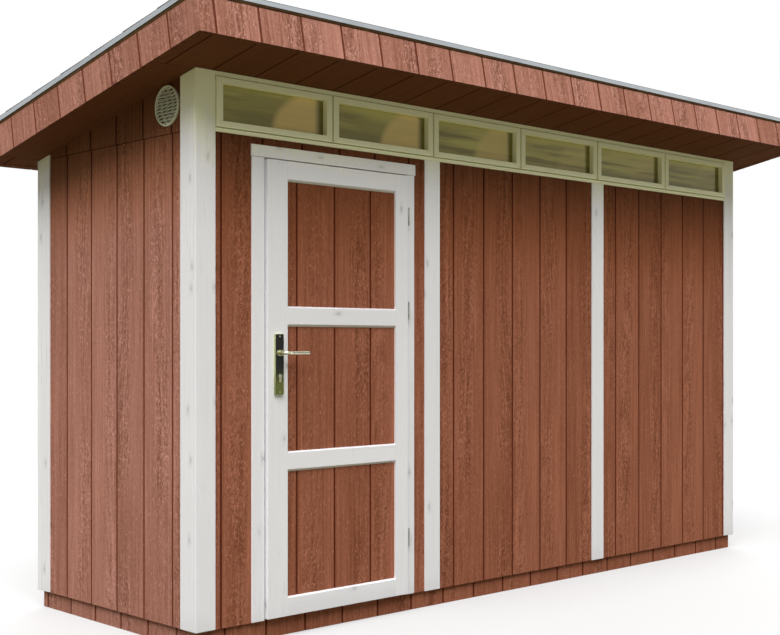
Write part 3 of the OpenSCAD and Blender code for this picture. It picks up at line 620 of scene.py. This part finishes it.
def planed_timber(name, colour, axis, tilt=0.0, painted=None, edges=None):
    """Planed softwood with dark late wood and a few knots.

    Painted is a paint with the left and right end of its stretch. Edges are the corners of a piece that is
    black along its edges, as painted shadow in the gap under the roof edge.
    """
    tree = new_finish(name)
    where = tree.place(tilt)
    width, depth, _ = tree.axes(where)
    rings = tree.grain(where, axis, along=0.9, across=46.0, detail=3.0, distortion=0.8)
    fibre = tree.grain(where, axis, along=8.0, across=500.0, detail=2.0)
    core, halo = knots(tree, where, axis, spacing=0.20, size=0.065, share=0.45)
    tone = tree.coats(
        colour,
        (tint(colour, (0.72, 0.58, 0.45)), tree.fade(rings, 0.47, 0.62) * 0.75),
        (shade(colour, 1.18), tree.fade(fibre, 0.55, 0.8) * 0.4),
        (shade(colour, 0.62), halo * 0.45),
        (tint(colour, (0.30, 0.20, 0.14)), core * 0.9))
    if painted:
        paint, left, right = painted
        inside = width.math("GREATER_THAN", left) * (1.0 - width.math("GREATER_THAN", right))
        tone = tree.mix(tone, tree.mix(paint, shade(paint, 0.90), fibre), inside)
    # Painted shadow: near black along the edges, where the gap under the roof edge is in shade.
    if edges:
        low, high = edges
        reach = (width - low.x).math("MINIMUM", high.x - width)
        reach = reach.math("MINIMUM", depth - low.y).math("MINIMUM", high.y - depth)
        tone = tree.mix(tone, shade(colour, 0.03), tree.fade(reach, *DECK_EDGE_SHADOW))
    return tree.finish({
        "Base Color": tone,
        "Roughness": tree.fade(rings, 0.3, 0.7, 0.58, 0.72),
    }, bump=(fibre * 0.5 + rings * 0.5, 0.25, 0.0006))


def mineral_felt(name, colour, tilt):
    """Roofing felt with fine slate granules and paler worn patches."""
    tree = new_finish(name)
    where = tree.place(tilt)
    granule, spark = tree.cells(where, scale=520.0)
    wear = tree.grain(where, "Y", along=1.4, across=2.6, detail=4.0)
    run = tree.grain(where, "Y", along=0.5, across=14.0, offset=5.0, detail=3.0)
    tone = tree.coats(
        colour,
        (shade(colour, 2.3), tree.fade(spark, 0.55, 0.95) * 0.7),
        (shade(colour, 1.7), tree.fade(wear, 0.50, 0.72) * 0.6),
        (shade(colour, 0.55), tree.fade(run, 0.55, 0.72) * 0.5))
    return tree.finish({
        "Base Color": tone,
        "Roughness": tree.fade(wear, 0.3, 0.7, 0.94, 0.82),
    }, bump=(1.0 - granule, 0.6, 0.0012))


def satin_metal(name, colour, metallic, roughness, tilt=0.0):
    """Drawn sheet metal with rain streaks and small scratches."""
    tree = new_finish(name)
    where = tree.place(tilt)
    draw = tree.grain(where, "X", along=3.0, across=320.0, detail=2.0)
    cloud = tree.grain(where, "Z", along=6.0, across=5.0, offset=2.0, detail=4.0)
    tone = tree.coats(
        colour,
        (shade(colour, 0.82), tree.fade(cloud, 0.48, 0.72) * 0.7),
        (shade(colour, 1.10), tree.fade(draw, 0.55, 0.80) * 0.5))
    return tree.finish({
        "Base Color": tone,
        "Metallic": metallic,
        "Roughness": tree.fade(cloud, 0.3, 0.75, roughness, roughness + 0.16),
    }, bump=(draw, 0.08, 0.0003))


def painted_reflection_nickel(name, colour, dark_reflection, start):
    """Bright nickel with a painted reflection: a dark line along the bar from where it leaves the neck, at
    start.
    """
    tree = new_finish(name)
    where = tree.place()
    width = tree.axes(where)[0]
    rise = tree.rise()
    cloud = tree.grain(where, "X", along=26.0, across=70.0, detail=4.0)
    draw = tree.grain(where, "X", along=8.0, across=400.0, detail=2.0)
    # Painted reflection: a dark band along the side of the bar and a darker hub, with the top faces left
    # bright.
    side = tree.fade(rise, -0.34, -0.14) * tree.fade(rise, 0.42, 0.24)
    side = side * tree.fade(width, start, start + REFLECTION_RUN)
    hub_reflection = tree.fade(width, start, start - HUB_RUN) * tree.fade(rise, 0.6, 0.2)
    tone = tree.coats(
        colour,
        (shade(colour, 0.78), tree.fade(cloud, 0.45, 0.70) * 0.6),
        (dark_reflection, side * tree.fade(cloud, 0.25, 0.60, 0.80, 1.0)),
        (tint(colour, (0.38, 0.39, 0.24)), hub_reflection * tree.fade(cloud, 0.3, 0.6, 0.6, 0.9)))
    return tree.finish({
        "Base Color": tone,
        "Metallic": 0.9,
        "Roughness": tree.fade(cloud, 0.3, 0.75, 0.16, 0.34),
    }, bump=(draw, 0.06, 0.0002))


def polished_plate(name, colour, lower_reflection, edge, low, high):
    """Near-black polished plate with a painted highlight on its rim, and an olive painted reflection that
    grows downwards.
    """
    tree = new_finish(name)
    where = tree.place()
    _, depth, height = tree.axes(where)
    cloud = tree.grain(where, "Z", along=22.0, across=60.0, detail=4.0)
    smear = tree.grain(where, "Z", along=30.0, across=160.0, offset=3.0, detail=2.0)
    # Painted reflection: olive on the lower part of the plate; the rim is a painted highlight.
    reflection_top = low.z + (high.z - low.z) * 0.46
    lower_reflection_mask = tree.fade(height + (cloud - 0.5) * 0.05, reflection_top, low.z + REFLECTION_FOOT)
    rim = tree.fade((depth - low.y).math("MINIMUM", high.y - depth), *PLATE_RIM_HIGHLIGHT)
    tone = tree.coats(
        colour,
        (lower_reflection, lower_reflection_mask),
        (shade(lower_reflection, 0.7), tree.fade(cloud, 0.58, 0.75) * 0.35),
        (tree.mix(edge, shade(edge, 0.6), lower_reflection_mask), rim))
    return tree.finish({
        "Base Color": tone,
        "Metallic": tree.fade(rim.math("MAXIMUM", lower_reflection_mask), 0.0, 1.0, 0.1, 0.8),
        "Roughness": tree.fade(smear, 0.35, 0.75, 0.16, 0.34),
        "Specular IOR Level": 0.15,
    }, bump=(smear, 0.04, 0.0002))


def old_glass(name, reflection_tone, pale_reflection, clear):
    """Window glass: clear behind a soft olive coat with streaks and a paler arc in each pane, all painted
    reflection.
    """
    tree = new_finish(name)
    where = tree.place()
    width, _, height = tree.axes(where)
    low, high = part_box("window_panes")
    sides = sorted({round(v.co.x, 3) for v in frame["nodes"]["window_panes"].data.vertices})
    pitch = sides[2] - sides[0]
    pane_width = sides[1] - sides[0]
    count = (width - low.x) / pitch
    pane = count.math("FLOOR")
    aside = (count - pane) * pitch / pane_width
    up = (height - low.z) / (high.z - low.z)
    streak = tree.grain(where, "X", along=2.2, across=34.0, detail=2.0, roughness=0.5)
    cloud = tree.grain(where, "X", along=1.6, across=5.0, offset=1.7, detail=1.0, roughness=0.4)
    speck = tree.grain(where, "X", along=90.0, across=90.0, detail=2.0)

    # The painted reflection's arc is boldest in the panes near the door, and its streaks in those away from
    # it.
    reach_x = (aside - ARC_MIDDLE[0]) / ARC_REACH[0]
    reach_z = (up - ARC_MIDDLE[1]) / ARC_REACH[1]
    reflected_arc = tree.fade(reach_x * reach_x + reach_z * reach_z, 1.20, 0.84) * tree.fade(aside, 0.99, 0.90)
    luck = tree.chance(pane + 0.37)
    reflected_arc = reflected_arc * tree.fade(pane, 0.5, 3.5, 1.0, 0.15) * tree.fade(luck, 0.0, 1.0, 0.75, 1.0)
    streaky = tree.fade(pane, 0.5, 2.5, 0.55, 1.0)
    uneven_up = up + (cloud - 0.5) * 0.6
    # Painted reflection lighter towards the top and darker towards the bottom, and painted shade at the right
    # edge of each pane.
    tone = tree.coats(
        reflection_tone,
        (shade(reflection_tone, 1.7), tree.fade(cloud, 0.46, 0.64) * 0.8),
        (shade(reflection_tone, 0.42), tree.fade(streak, 0.50, 0.62) * streaky * 0.8),
        (tint(reflection_tone, (1.75, 1.95, 1.95)), tree.fade(streak, 0.46, 0.34) * streaky * 0.8),
        (shade(reflection_tone, 1.5), tree.fade(uneven_up, 0.62, 0.95) * 0.7),
        (shade(reflection_tone, 0.5), tree.fade(uneven_up, 0.40, 0.10) * 0.5),
        (pale_reflection, reflected_arc * 0.9),
        (shade(reflection_tone, 0.35), tree.fade(aside, 0.90, 0.96) * 0.7))
    coat = tree.principled({
        "Base Color": tone,
        "Roughness": tree.fade(speck, 0.3, 0.8, 0.05, 0.16),
        "Specular IOR Level": 0.35,
        # Painted reflection: the gloss is tinted olive.
        "Specular Tint": (1.0, 0.86, 0.42, 1.0),
    })
    glass = tree.principled({
        "Base Color": (*clear, 1.0),
        "Roughness": 0.02,
        "Transmission Weight": 1.0,
        "IOR": 1.45,
    })
    cover = tree.fade(streak, 0.25, 0.75, 0.78, 0.90)
    return tree.surface(tree.node("ShaderNodeMixShader", inputs={0: cover, 1: glass, 2: coat}))


def moulded_plastic(name, colour):
    """White plastic with chalking and a little dust."""
    tree = new_finish(name)
    where = tree.place()
    dust = tree.grain(where, "Z", along=14.0, across=30.0, detail=4.0)
    chalk = tree.grain(where, "Z", along=700.0, across=700.0, detail=2.0)
    return tree.finish({
        "Base Color": tree.mix(colour, shade(colour, 0.72), tree.fade(dust, 0.48, 0.72) * 0.6),
        "Roughness": tree.fade(dust, 0.3, 0.7, 0.42, 0.60),
    }, bump=(chalk, 0.08, 0.0002))


def zinc_plate(name, colour, stained):
    """Dull zinc on the hinges, with darker stains."""
    tree = new_finish(name)
    stain = tree.grain(tree.place(), "Z", along=40.0, across=120.0, detail=4.0)
    return tree.finish({
        "Base Color": tree.mix(colour, stained, tree.fade(stain, 0.46, 0.72) * 0.8),
        "Metallic": 0.6,
        "Roughness": tree.fade(stain, 0.35, 0.75, 0.38, 0.62),
    }, bump=(stain, 0.12, 0.0003))


def dress(piece, finish):
    """Gives a piece one finish all over."""
    slots = piece.data.materials
    if len(slots) == 0:
        slots.append(finish)
    for i in range(len(slots)):
        slots[i] = finish


def dress_nodes(names, finish):
    """Gives CAD pieces one finish all over."""
    for name in names:
        dress(frame["nodes"][name], finish)


def start_piece(name):
    """Names the active object, which was just added, copied or joined, and opens it for editing."""
    piece = bpy.context.active_object
    piece.name = name
    piece.data.name = name
    bpy.ops.object.mode_set(mode="EDIT")
    return piece


def pick(piece, kind, test):
    """Selects the vertices, edges or faces of an open piece that pass a test."""
    bpy.ops.mesh.select_mode(type=kind)
    bpy.ops.mesh.select_all(action="DESELECT")
    mesh = bmesh.from_edit_mesh(piece.data)
    for element in {"VERT": mesh.verts, "EDGE": mesh.edges, "FACE": mesh.faces}[kind]:
        element.select_set(test(element))
    mesh.select_flush_mode()
    bmesh.update_edit_mesh(piece.data)


def close_piece(piece, finish, body):
    """Ends editing, smooths, settles the place in the mesh, and ties the piece to its body."""
    bpy.ops.object.mode_set(mode="OBJECT")
    bpy.ops.object.transform_apply(location=True, rotation=True, scale=True)
    bpy.ops.object.shade_smooth_by_angle(angle=SMOOTH_ANGLE)
    dress(piece, finish)
    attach(piece, body)


def is_long_arris(edge):
    """An outer edge of a board that is long enough to be eased."""
    if len(edge.link_faces) != 2 or edge.calc_length() < SHORTEST_ARRIS:
        return False
    return edge.is_convex and edge.calc_face_angle() > DULLEST_ARRIS


def eased_copy(node, body, rounding, finish):
    """Copies a board node and rounds the long edges of the copy, which stands for the node."""
    source = frame["nodes"][node]
    bpy.ops.object.select_all(action="DESELECT")
    source.select_set(True)
    bpy.context.view_layer.objects.active = source
    bpy.ops.object.duplicate(linked=False)
    piece = start_piece(node + "_eased")
    del piece["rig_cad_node"]
    piece.parent = None
    bpy.ops.mesh.select_all(action="SELECT")
    bpy.ops.mesh.customdata_custom_splitnormals_clear()
    bpy.ops.mesh.remove_doubles(threshold=WELD)
    bpy.ops.mesh.dissolve_limited(angle_limit=FLAT_ANGLE)
    pick(piece, "EDGE", is_long_arris)
    bpy.ops.mesh.bevel(offset=rounding, segments=2, profile=0.5, affect="EDGES", clamp_overlap=True)
    close_piece(piece, finish, body)
    even = piece.modifiers.new("even_faces", "WEIGHTED_NORMAL")
    even.keep_sharp = True
    bpy.ops.object.modifier_apply(modifier=even.name)
    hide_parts(node)


class SHED_OT_walls(bpy.types.Operator):
    """Stain the grooved sheets of the walls, the plinth and the door panels"""

    bl_idname = "shed.walls"
    bl_label = "Walls"

    def execute(self, context):
        finish = context.scene.shed_finish
        # Painted shade close under the eaves, and under the verges along the fall of the roof.
        eaves = RoofShade(shade(finish.roof_shade_stain, EAVES_SHADE), UNDER_EAVES)
        verges = RoofShade(finish.roof_shade_stain, UNDER_VERGES, math.tan(roof_pitch()) / 2)
        for nodes, colour, axes, roof_shade in ((LONG_SHEETS, finish.siding, "ZXY", eaves),
                                             (SIDE_SHEETS, finish.faded_and_lit, "ZYX", verges)):
            for node in nodes:
                bare = None if node == "leaf_panels" else finish.timber
                dress_nodes([node], sawn_stain(node, colour, axes, roof_shade=roof_shade, bare=bare))
        return {"FINISHED"}


class SHED_OT_roof(bpy.types.Operator):
    """Stain the fascias and soffits, and finish the felt and the metal edge"""

    bl_idname = "shed.roof"
    bl_label = "Roof"

    def execute(self, context):
        finish = context.scene.shed_finish
        tilt = roof_pitch()
        # Painted shade on the fascias' undersides, and the soffits stained all over with the dark
        # painted-shade stain.
        undersides = RoofShade(finish.roof_shade_stain)
        for node, axes in (("fascia_eaves", "ZXY"), ("fascia_verges", "ZYX")):
            dress_nodes([node], sawn_stain(node, finish.faded_and_lit, axes, tilt, undersides, contrast=1.25))
        for node in SOFFITS:
            dress_nodes([node], sawn_stain(node, finish.roof_shade_stain, "YXZ", tilt, contrast=0.4))
        dress_nodes(["roofing"], mineral_felt("mineral_felt", finish.felt, tilt))
        edge = satin_metal("satin_edge", finish.edge_metal, metallic=0.45, roughness=0.34, tilt=tilt)
        dress_nodes(EDGE_TRIMS, edge)
        return {"FINISHED"}


class SHED_OT_timber(bpy.types.Operator):
    """Finish the bare timber of the frame, the floor and the roof"""

    bl_idname = "shed.timber"
    bl_label = "Timber"

    def execute(self, context):
        finish = context.scene.shed_finish
        colour = finish.timber
        casing_low, casing_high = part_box("casing_sides")
        jambs = (finish.white, casing_low.x, casing_high.x)
        dress_nodes(["studs_front"], planed_timber("planed_jambs", colour, "Z", painted=jambs))
        dress_nodes(UPRIGHT_TIMBER, planed_timber("planed_upright", colour, "Z"))
        dress_nodes(LONG_TIMBER, planed_timber("planed_long", colour, "X"))
        dress_nodes(DEEP_TIMBER, planed_timber("planed_deep", colour, "Y"))
        tilt = roof_pitch()
        dress_nodes(["rafters"], planed_timber("planed_sloping", colour, "Y", tilt))
        # Painted shadow along the edges of the roof deck.
        corners = level_points("roof_deck", tilt)
        edges = [Vector([end(corner[i] for corner in corners) for i in range(3)]) for end in (min, max)]
        dress_nodes(["roof_deck"], planed_timber("planed_deck", colour, "Y", tilt, edges=edges))
        return {"FINISHED"}


class SHED_OT_trim(bpy.types.Operator):
    """Round the edges of the white boards and paint them"""

    bl_idname = "shed.trim"
    bl_label = "White boards"

    def execute(self, context):
        finish = context.scene.shed_finish
        fittings = context.scene.shed_fittings
        paints = {name: white_stain(name, finish.white, axis, finish.olive_light_tint, eaves)
                  for name, (axis, eaves) in WHITE_PAINTS.items()}
        dress_nodes(["transom_posts"], paints["damp_upright"])
        for node, (body, paint, rounding) in EASED_BOARDS.items():
            eased_copy(node, body, getattr(fittings, rounding), paints[paint])
        return {"FINISHED"}


class SHED_OT_glass(bpy.types.Operator):
    """Glaze the window band"""

    bl_idname = "shed.glass"
    bl_label = "Glass"

    def execute(self, context):
        finish = context.scene.shed_finish
        glass = old_glass("old_glass", finish.glass, finish.glass_pale, finish.glass_clear)
        dress_nodes(["window_panes"], glass)
        return {"FINISHED"}


class SHED_OT_furniture(bpy.types.Operator):
    """Finish the handle plates, the lever, the lock and the hinges, and add screws and key plugs"""

    bl_idname = "shed.furniture"
    bl_label = "Door furniture"

    def screw(self, name, place, outward, radius, finish):
        """Round head with a chamfer and a straight slot, standing out along the depth."""
        bpy.ops.object.select_all(action="DESELECT")
        bpy.ops.mesh.primitive_cylinder_add(vertices=SCREW_SIDES, radius=radius, depth=SCREW_DEPTH,
                                            location=place, rotation=(QUARTER_TURN, 0.0, 0.0))
        piece = start_piece(name)
        pick(piece, "FACE", lambda face: face.normal.z * -outward > 0.9)
        bpy.ops.mesh.inset(thickness=radius * 0.18)
        bpy.ops.transform.translate(value=(0.0, outward * SCREW_CROWN, 0.0))
        bpy.ops.mesh.inset(thickness=radius * 0.45)
        bpy.ops.transform.resize(value=SLOT_SHAPE)
        sink = (0.0, -outward * SLOT_DEPTH, 0.0)
        bpy.ops.mesh.extrude_region_move(TRANSFORM_OT_translate={"value": sink})
        close_piece(piece, finish, "door")

    def execute(self, context):
        finish = context.scene.shed_finish
        fittings = context.scene.shed_fittings
        low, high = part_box("handle_plates")
        middle = (low.x + high.x) / 2
        dull_nickel = tint(finish.lever_metal, (0.42, 0.42, 0.34))
        # Painted highlight on the rim of the plates.
        plate_rim_highlight = tint(finish.lever_metal, (0.74, 0.80, 0.58))
        bright = satin_metal("satin_nickel", dull_nickel, metallic=0.7, roughness=0.30)
        # The lever's finish carries a painted reflection.
        worn = painted_reflection_nickel("polished_nickel", finish.lever_metal, finish.lever_dark_reflection,
                           middle + REFLECTION_START)
        plate = polished_plate("polished_plate", finish.plate_dark_reflection, finish.plate_lower_reflection, plate_rim_highlight,
                               low, high)
        dress_nodes(["handle_plates"], plate)
        dress_nodes(["lock_cylinder"], bright)
        dress_nodes(["door_lever"], worn)
        dress_nodes(HINGES, zinc_plate("zinc_plate", finish.hinge_zinc, finish.hinge_stain))
        heights = {"top": high.z - fittings.screw_inset, "low": low.z + fittings.screw_inset}
        lock_low, lock_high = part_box("lock_cylinder")
        plug_z = lock_high.z - (lock_high.x - lock_low.x) / 2
        for face, y, outward in (("front", low.y, -1.0), ("back", high.y, 1.0)):
            for end, z in heights.items():
                self.screw(f"plate_screw_{face}_{end}", (middle, y, z), outward,
                           fittings.screw_radius, bright)
        for face, y, outward in (("front", lock_low.y, -1.0), ("back", lock_high.y, 1.0)):
            self.screw(f"key_plug_{face}", (middle, y, plug_z), outward, fittings.plug_radius, bright)
        return {"FINISHED"}


class SHED_OT_vent(bpy.types.Operator):
    """Model the round vent with a rolled rim and wavy louvres"""

    bl_idname = "shed.vent"
    bl_label = "Vent"

    def rim(self, centre, radius, depth, finish):
        """Ring with a rolled outer edge."""
        bpy.ops.object.select_all(action="DESELECT")
        bpy.ops.mesh.primitive_cylinder_add(vertices=RIM_SIDES, radius=radius, depth=depth, location=centre,
                                            rotation=(0.0, QUARTER_TURN, 0.0), end_fill_type="NGON")
        piece = start_piece("vent_rim")
        pick(piece, "FACE", lambda face: abs(face.normal.z) > 0.9)
        bpy.ops.mesh.inset(thickness=radius * RIM_SHARE, use_individual=True)
        bpy.ops.mesh.bridge_edge_loops()
        pick(piece, "EDGE", lambda edge: edge.is_convex and edge.calc_face_angle(0.0) > math.radians(60.0))
        bpy.ops.mesh.bevel(offset=RIM_ROLL, segments=3, profile=0.6, affect="EDGES")
        close_piece(piece, finish, "shed")
        return piece

    def louvre(self, name, centre, half, depth, drop, wave):
        """One wavy blade that slopes down and out, with a thickness."""
        spaces = WAVE_POINTS * max(2, round(half * 2 / WAVE_LENGTH))
        step = 2 * half / spaces
        bpy.ops.object.select_all(action="DESELECT")
        bpy.ops.mesh.primitive_grid_add(x_subdivisions=1, y_subdivisions=spaces, size=1.0, location=centre)
        piece = start_piece(name)
        bpy.ops.mesh.select_all(action="SELECT")
        bpy.ops.transform.resize(value=(depth, 2 * half, 1.0))
        for phase, lift in ((1, wave), (3, -wave)):
            pick(piece, "VERT", lambda v: round((v.co.y + half) / step) % WAVE_POINTS == phase)
            bpy.ops.transform.translate(value=(0.0, 0.0, lift))
        pick(piece, "VERT", lambda v: v.co.x < 0)
        bpy.ops.transform.translate(value=(0.0, 0.0, -drop))
        bpy.ops.object.mode_set(mode="OBJECT")
        for kind, settings in (("SUBSURF", {"levels": 2, "render_levels": 2}),
                               ("SOLIDIFY", {"thickness": BLADE_THICKNESS, "offset": 0.0})):
            change = piece.modifiers.new(kind.lower(), kind)
            for key, value in settings.items():
                setattr(change, key, value)
            bpy.ops.object.modifier_apply(modifier=change.name)
        return piece

    def execute(self, context):
        fittings = context.scene.shed_fittings
        finish = moulded_plastic("moulded_vent", context.scene.shed_finish.vent)
        low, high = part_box("vent_grille")
        centre = (low + high) / 2
        radius = (high.z - low.z) / 2
        depth = high.x - low.x
        rim = self.rim(centre, radius, depth, finish)
        opening = radius * (1.0 - RIM_SHARE)
        pitch = 2 * opening / fittings.louvres
        drop = pitch * BLADE_DROP_SHARE
        blades = []
        for i in range(fittings.louvres):
            rise = -opening + (i + 0.5) * pitch
            half = math.sqrt(opening ** 2 - rise ** 2) + BLADE_OVERLAP
            place = centre + Vector((0.0, 0.0, rise + drop / 2))
            blades.append(self.louvre(f"vent_blade_{i}", place, half, depth * BLADE_DEPTH_SHARE, drop,
                                      fittings.louvre_wave))
        bpy.ops.object.select_all(action="DESELECT")
        for blade in blades:
            blade.select_set(True)
        bpy.context.view_layer.objects.active = blades[0]
        bpy.ops.object.join()
        piece = start_piece("vent_louvres")
        bpy.ops.mesh.select_all(action="SELECT")
        bpy.ops.mesh.normals_make_consistent(inside=False)
        close_piece(piece, finish, "shed")
        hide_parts("vent_grille")
        return {"FINISHED"}


class SHED_OT_stage(bpy.types.Operator):
    """Set the floor, the even light, the soft lamps and the camera"""

    bl_idname = "shed.stage"
    bl_label = "Stage"

    def seen(self, tree):
        """1 for what the camera sees straight, in a mirror or through glass."""
        straight = tree.node("ShaderNodeLightPath", out="Is Camera Ray")
        mirrored = straight.math("MAXIMUM", straight.output("Is Glossy Ray"))
        return mirrored.math("MAXIMUM", straight.output("Is Transmission Ray"))

    def floor(self, stage):
        """Pale floor that fades to white, and throws up light of another colour than is seen."""
        bpy.ops.object.select_all(action="DESELECT")
        bpy.ops.mesh.primitive_plane_add(size=FLOOR_SIZE, location=(0.0, 0.0, -FLOOR_DROP))
        piece = bpy.context.active_object
        piece.name = "floor"
        tree = new_finish("pale_floor")
        lit = tree.node("ShaderNodeBsdfDiffuse", inputs={"Color": (*stage.floor, 1.0)})
        glow = tree.node("ShaderNodeEmission", inputs={"Strength": stage.floor_glow})
        near = tree.node("ShaderNodeAddShader", inputs={0: lit, 1: glow})
        white = tree.node("ShaderNodeEmission", inputs={"Strength": 1.0})
        away = tree.node("ShaderNodeVectorMath", {"operation": "LENGTH"}, {0: tree.place()}, out="Value")
        shown = tree.node("ShaderNodeMixShader", inputs={0: tree.fade(away, *FLOOR_FADE), 1: near, 2: white})
        bounced = tree.node("ShaderNodeBsdfDiffuse", inputs={"Color": (*stage.floor_bounce, 1.0)})
        shader = tree.node("ShaderNodeMixShader", inputs={0: self.seen(tree), 1: bounced, 2: shown})
        dress(piece, tree.surface(shader))

    def sky(self, scene, stage):
        """Even light from all round, which is seen as plain white."""
        world = scene.world or bpy.data.worlds.new("studio")
        scene.world = world
        tree = Tree(world)
        light, white = [tree.node("ShaderNodeBackground", inputs={"Color": SKY_WHITE, "Strength": strength})
                        for strength in (stage.sky, 1.0)]
        shader = tree.node("ShaderNodeMixShader", inputs={0: self.seen(tree), 1: light, 2: white})
        tree.node("ShaderNodeOutputWorld", inputs={"Surface": shader})

    def lamp(self, name, source, strength, softness):
        """Wide soft light that comes from one side of the sky and reaches every place alike."""
        bpy.ops.object.light_add(type="SUN", location=source)
        lamp = bpy.context.active_object
        lamp.name = name
        lamp.data.energy = strength
        lamp.data.angle = softness
        lamp.rotation_euler = (-Vector(source)).to_track_quat("-Z", "Y").to_euler()

    def camera(self, scene, stage):
        """Level camera that stands where the photo was taken."""
        bpy.ops.object.camera_add(location=stage.camera_place,
                                  rotation=(QUARTER_TURN, 0.0, stage.camera_turn))
        camera = bpy.context.active_object
        camera.name = "photo_camera"
        camera.data.sensor_width = SENSOR_WIDTH
        camera.data.lens = PHOTO_FOCAL * SENSOR_WIDTH / PHOTO_WIDTH
        camera.data.shift_x = PHOTO_ASIDE / PHOTO_WIDTH
        camera.data.shift_y = PHOTO_RISE / PHOTO_WIDTH
        camera.data.clip_end = VIEW_REACH
        scene.camera = camera

    def execute(self, context):
        scene = context.scene
        stage = scene.shed_stage
        scene.view_settings.view_transform = "Standard"
        self.floor(stage)
        self.sky(scene, stage)
        self.lamp("key_light", KEY_LIGHT_FROM, stage.key, stage.softness)
        self.lamp("back_light", BACK_LIGHT_FROM, stage.back, stage.softness)
        self.camera(scene, stage)
        return {"FINISHED"}


STEPS = [
    SHED_OT_walls, SHED_OT_roof, SHED_OT_timber, SHED_OT_trim, SHED_OT_glass, SHED_OT_furniture,
    SHED_OT_vent, SHED_OT_stage,
]


class SHED_PT_panel(bpy.types.Panel):
    """Steps and sizes of the shed"""

    bl_idname = "SHED_PT_panel"
    bl_label = "Garden Shed"
    bl_space_type = "VIEW_3D"
    bl_region_type = "UI"
    bl_category = "Shed"

    def draw(self, context):
        layout = self.layout
        for step in STEPS:
            layout.operator(step.bl_idname)
        for group in (context.scene.shed_finish, context.scene.shed_fittings, context.scene.shed_stage):
            box = layout.box()
            for name in group.__annotations__:
                box.prop(group, name)


CLASSES = [ShedFinish, ShedFittings, ShedStage, *STEPS, SHED_PT_panel]


def register():
    for cls in CLASSES:
        bpy.utils.register_class(cls)
    bpy.types.Scene.shed_finish = PointerProperty(type=ShedFinish)
    bpy.types.Scene.shed_fittings = PointerProperty(type=ShedFittings)
    bpy.types.Scene.shed_stage = PointerProperty(type=ShedStage)


def unregister():
    del bpy.types.Scene.shed_stage
    del bpy.types.Scene.shed_fittings
    del bpy.types.Scene.shed_finish
    for cls in reversed(CLASSES):
        bpy.utils.unregister_class(cls)


def main():
    register()
    for step in STEPS:
        group, name = step.bl_idname.split(".")
        getattr(getattr(bpy.ops, group), name)()


if __name__ == "__main__":
    main()
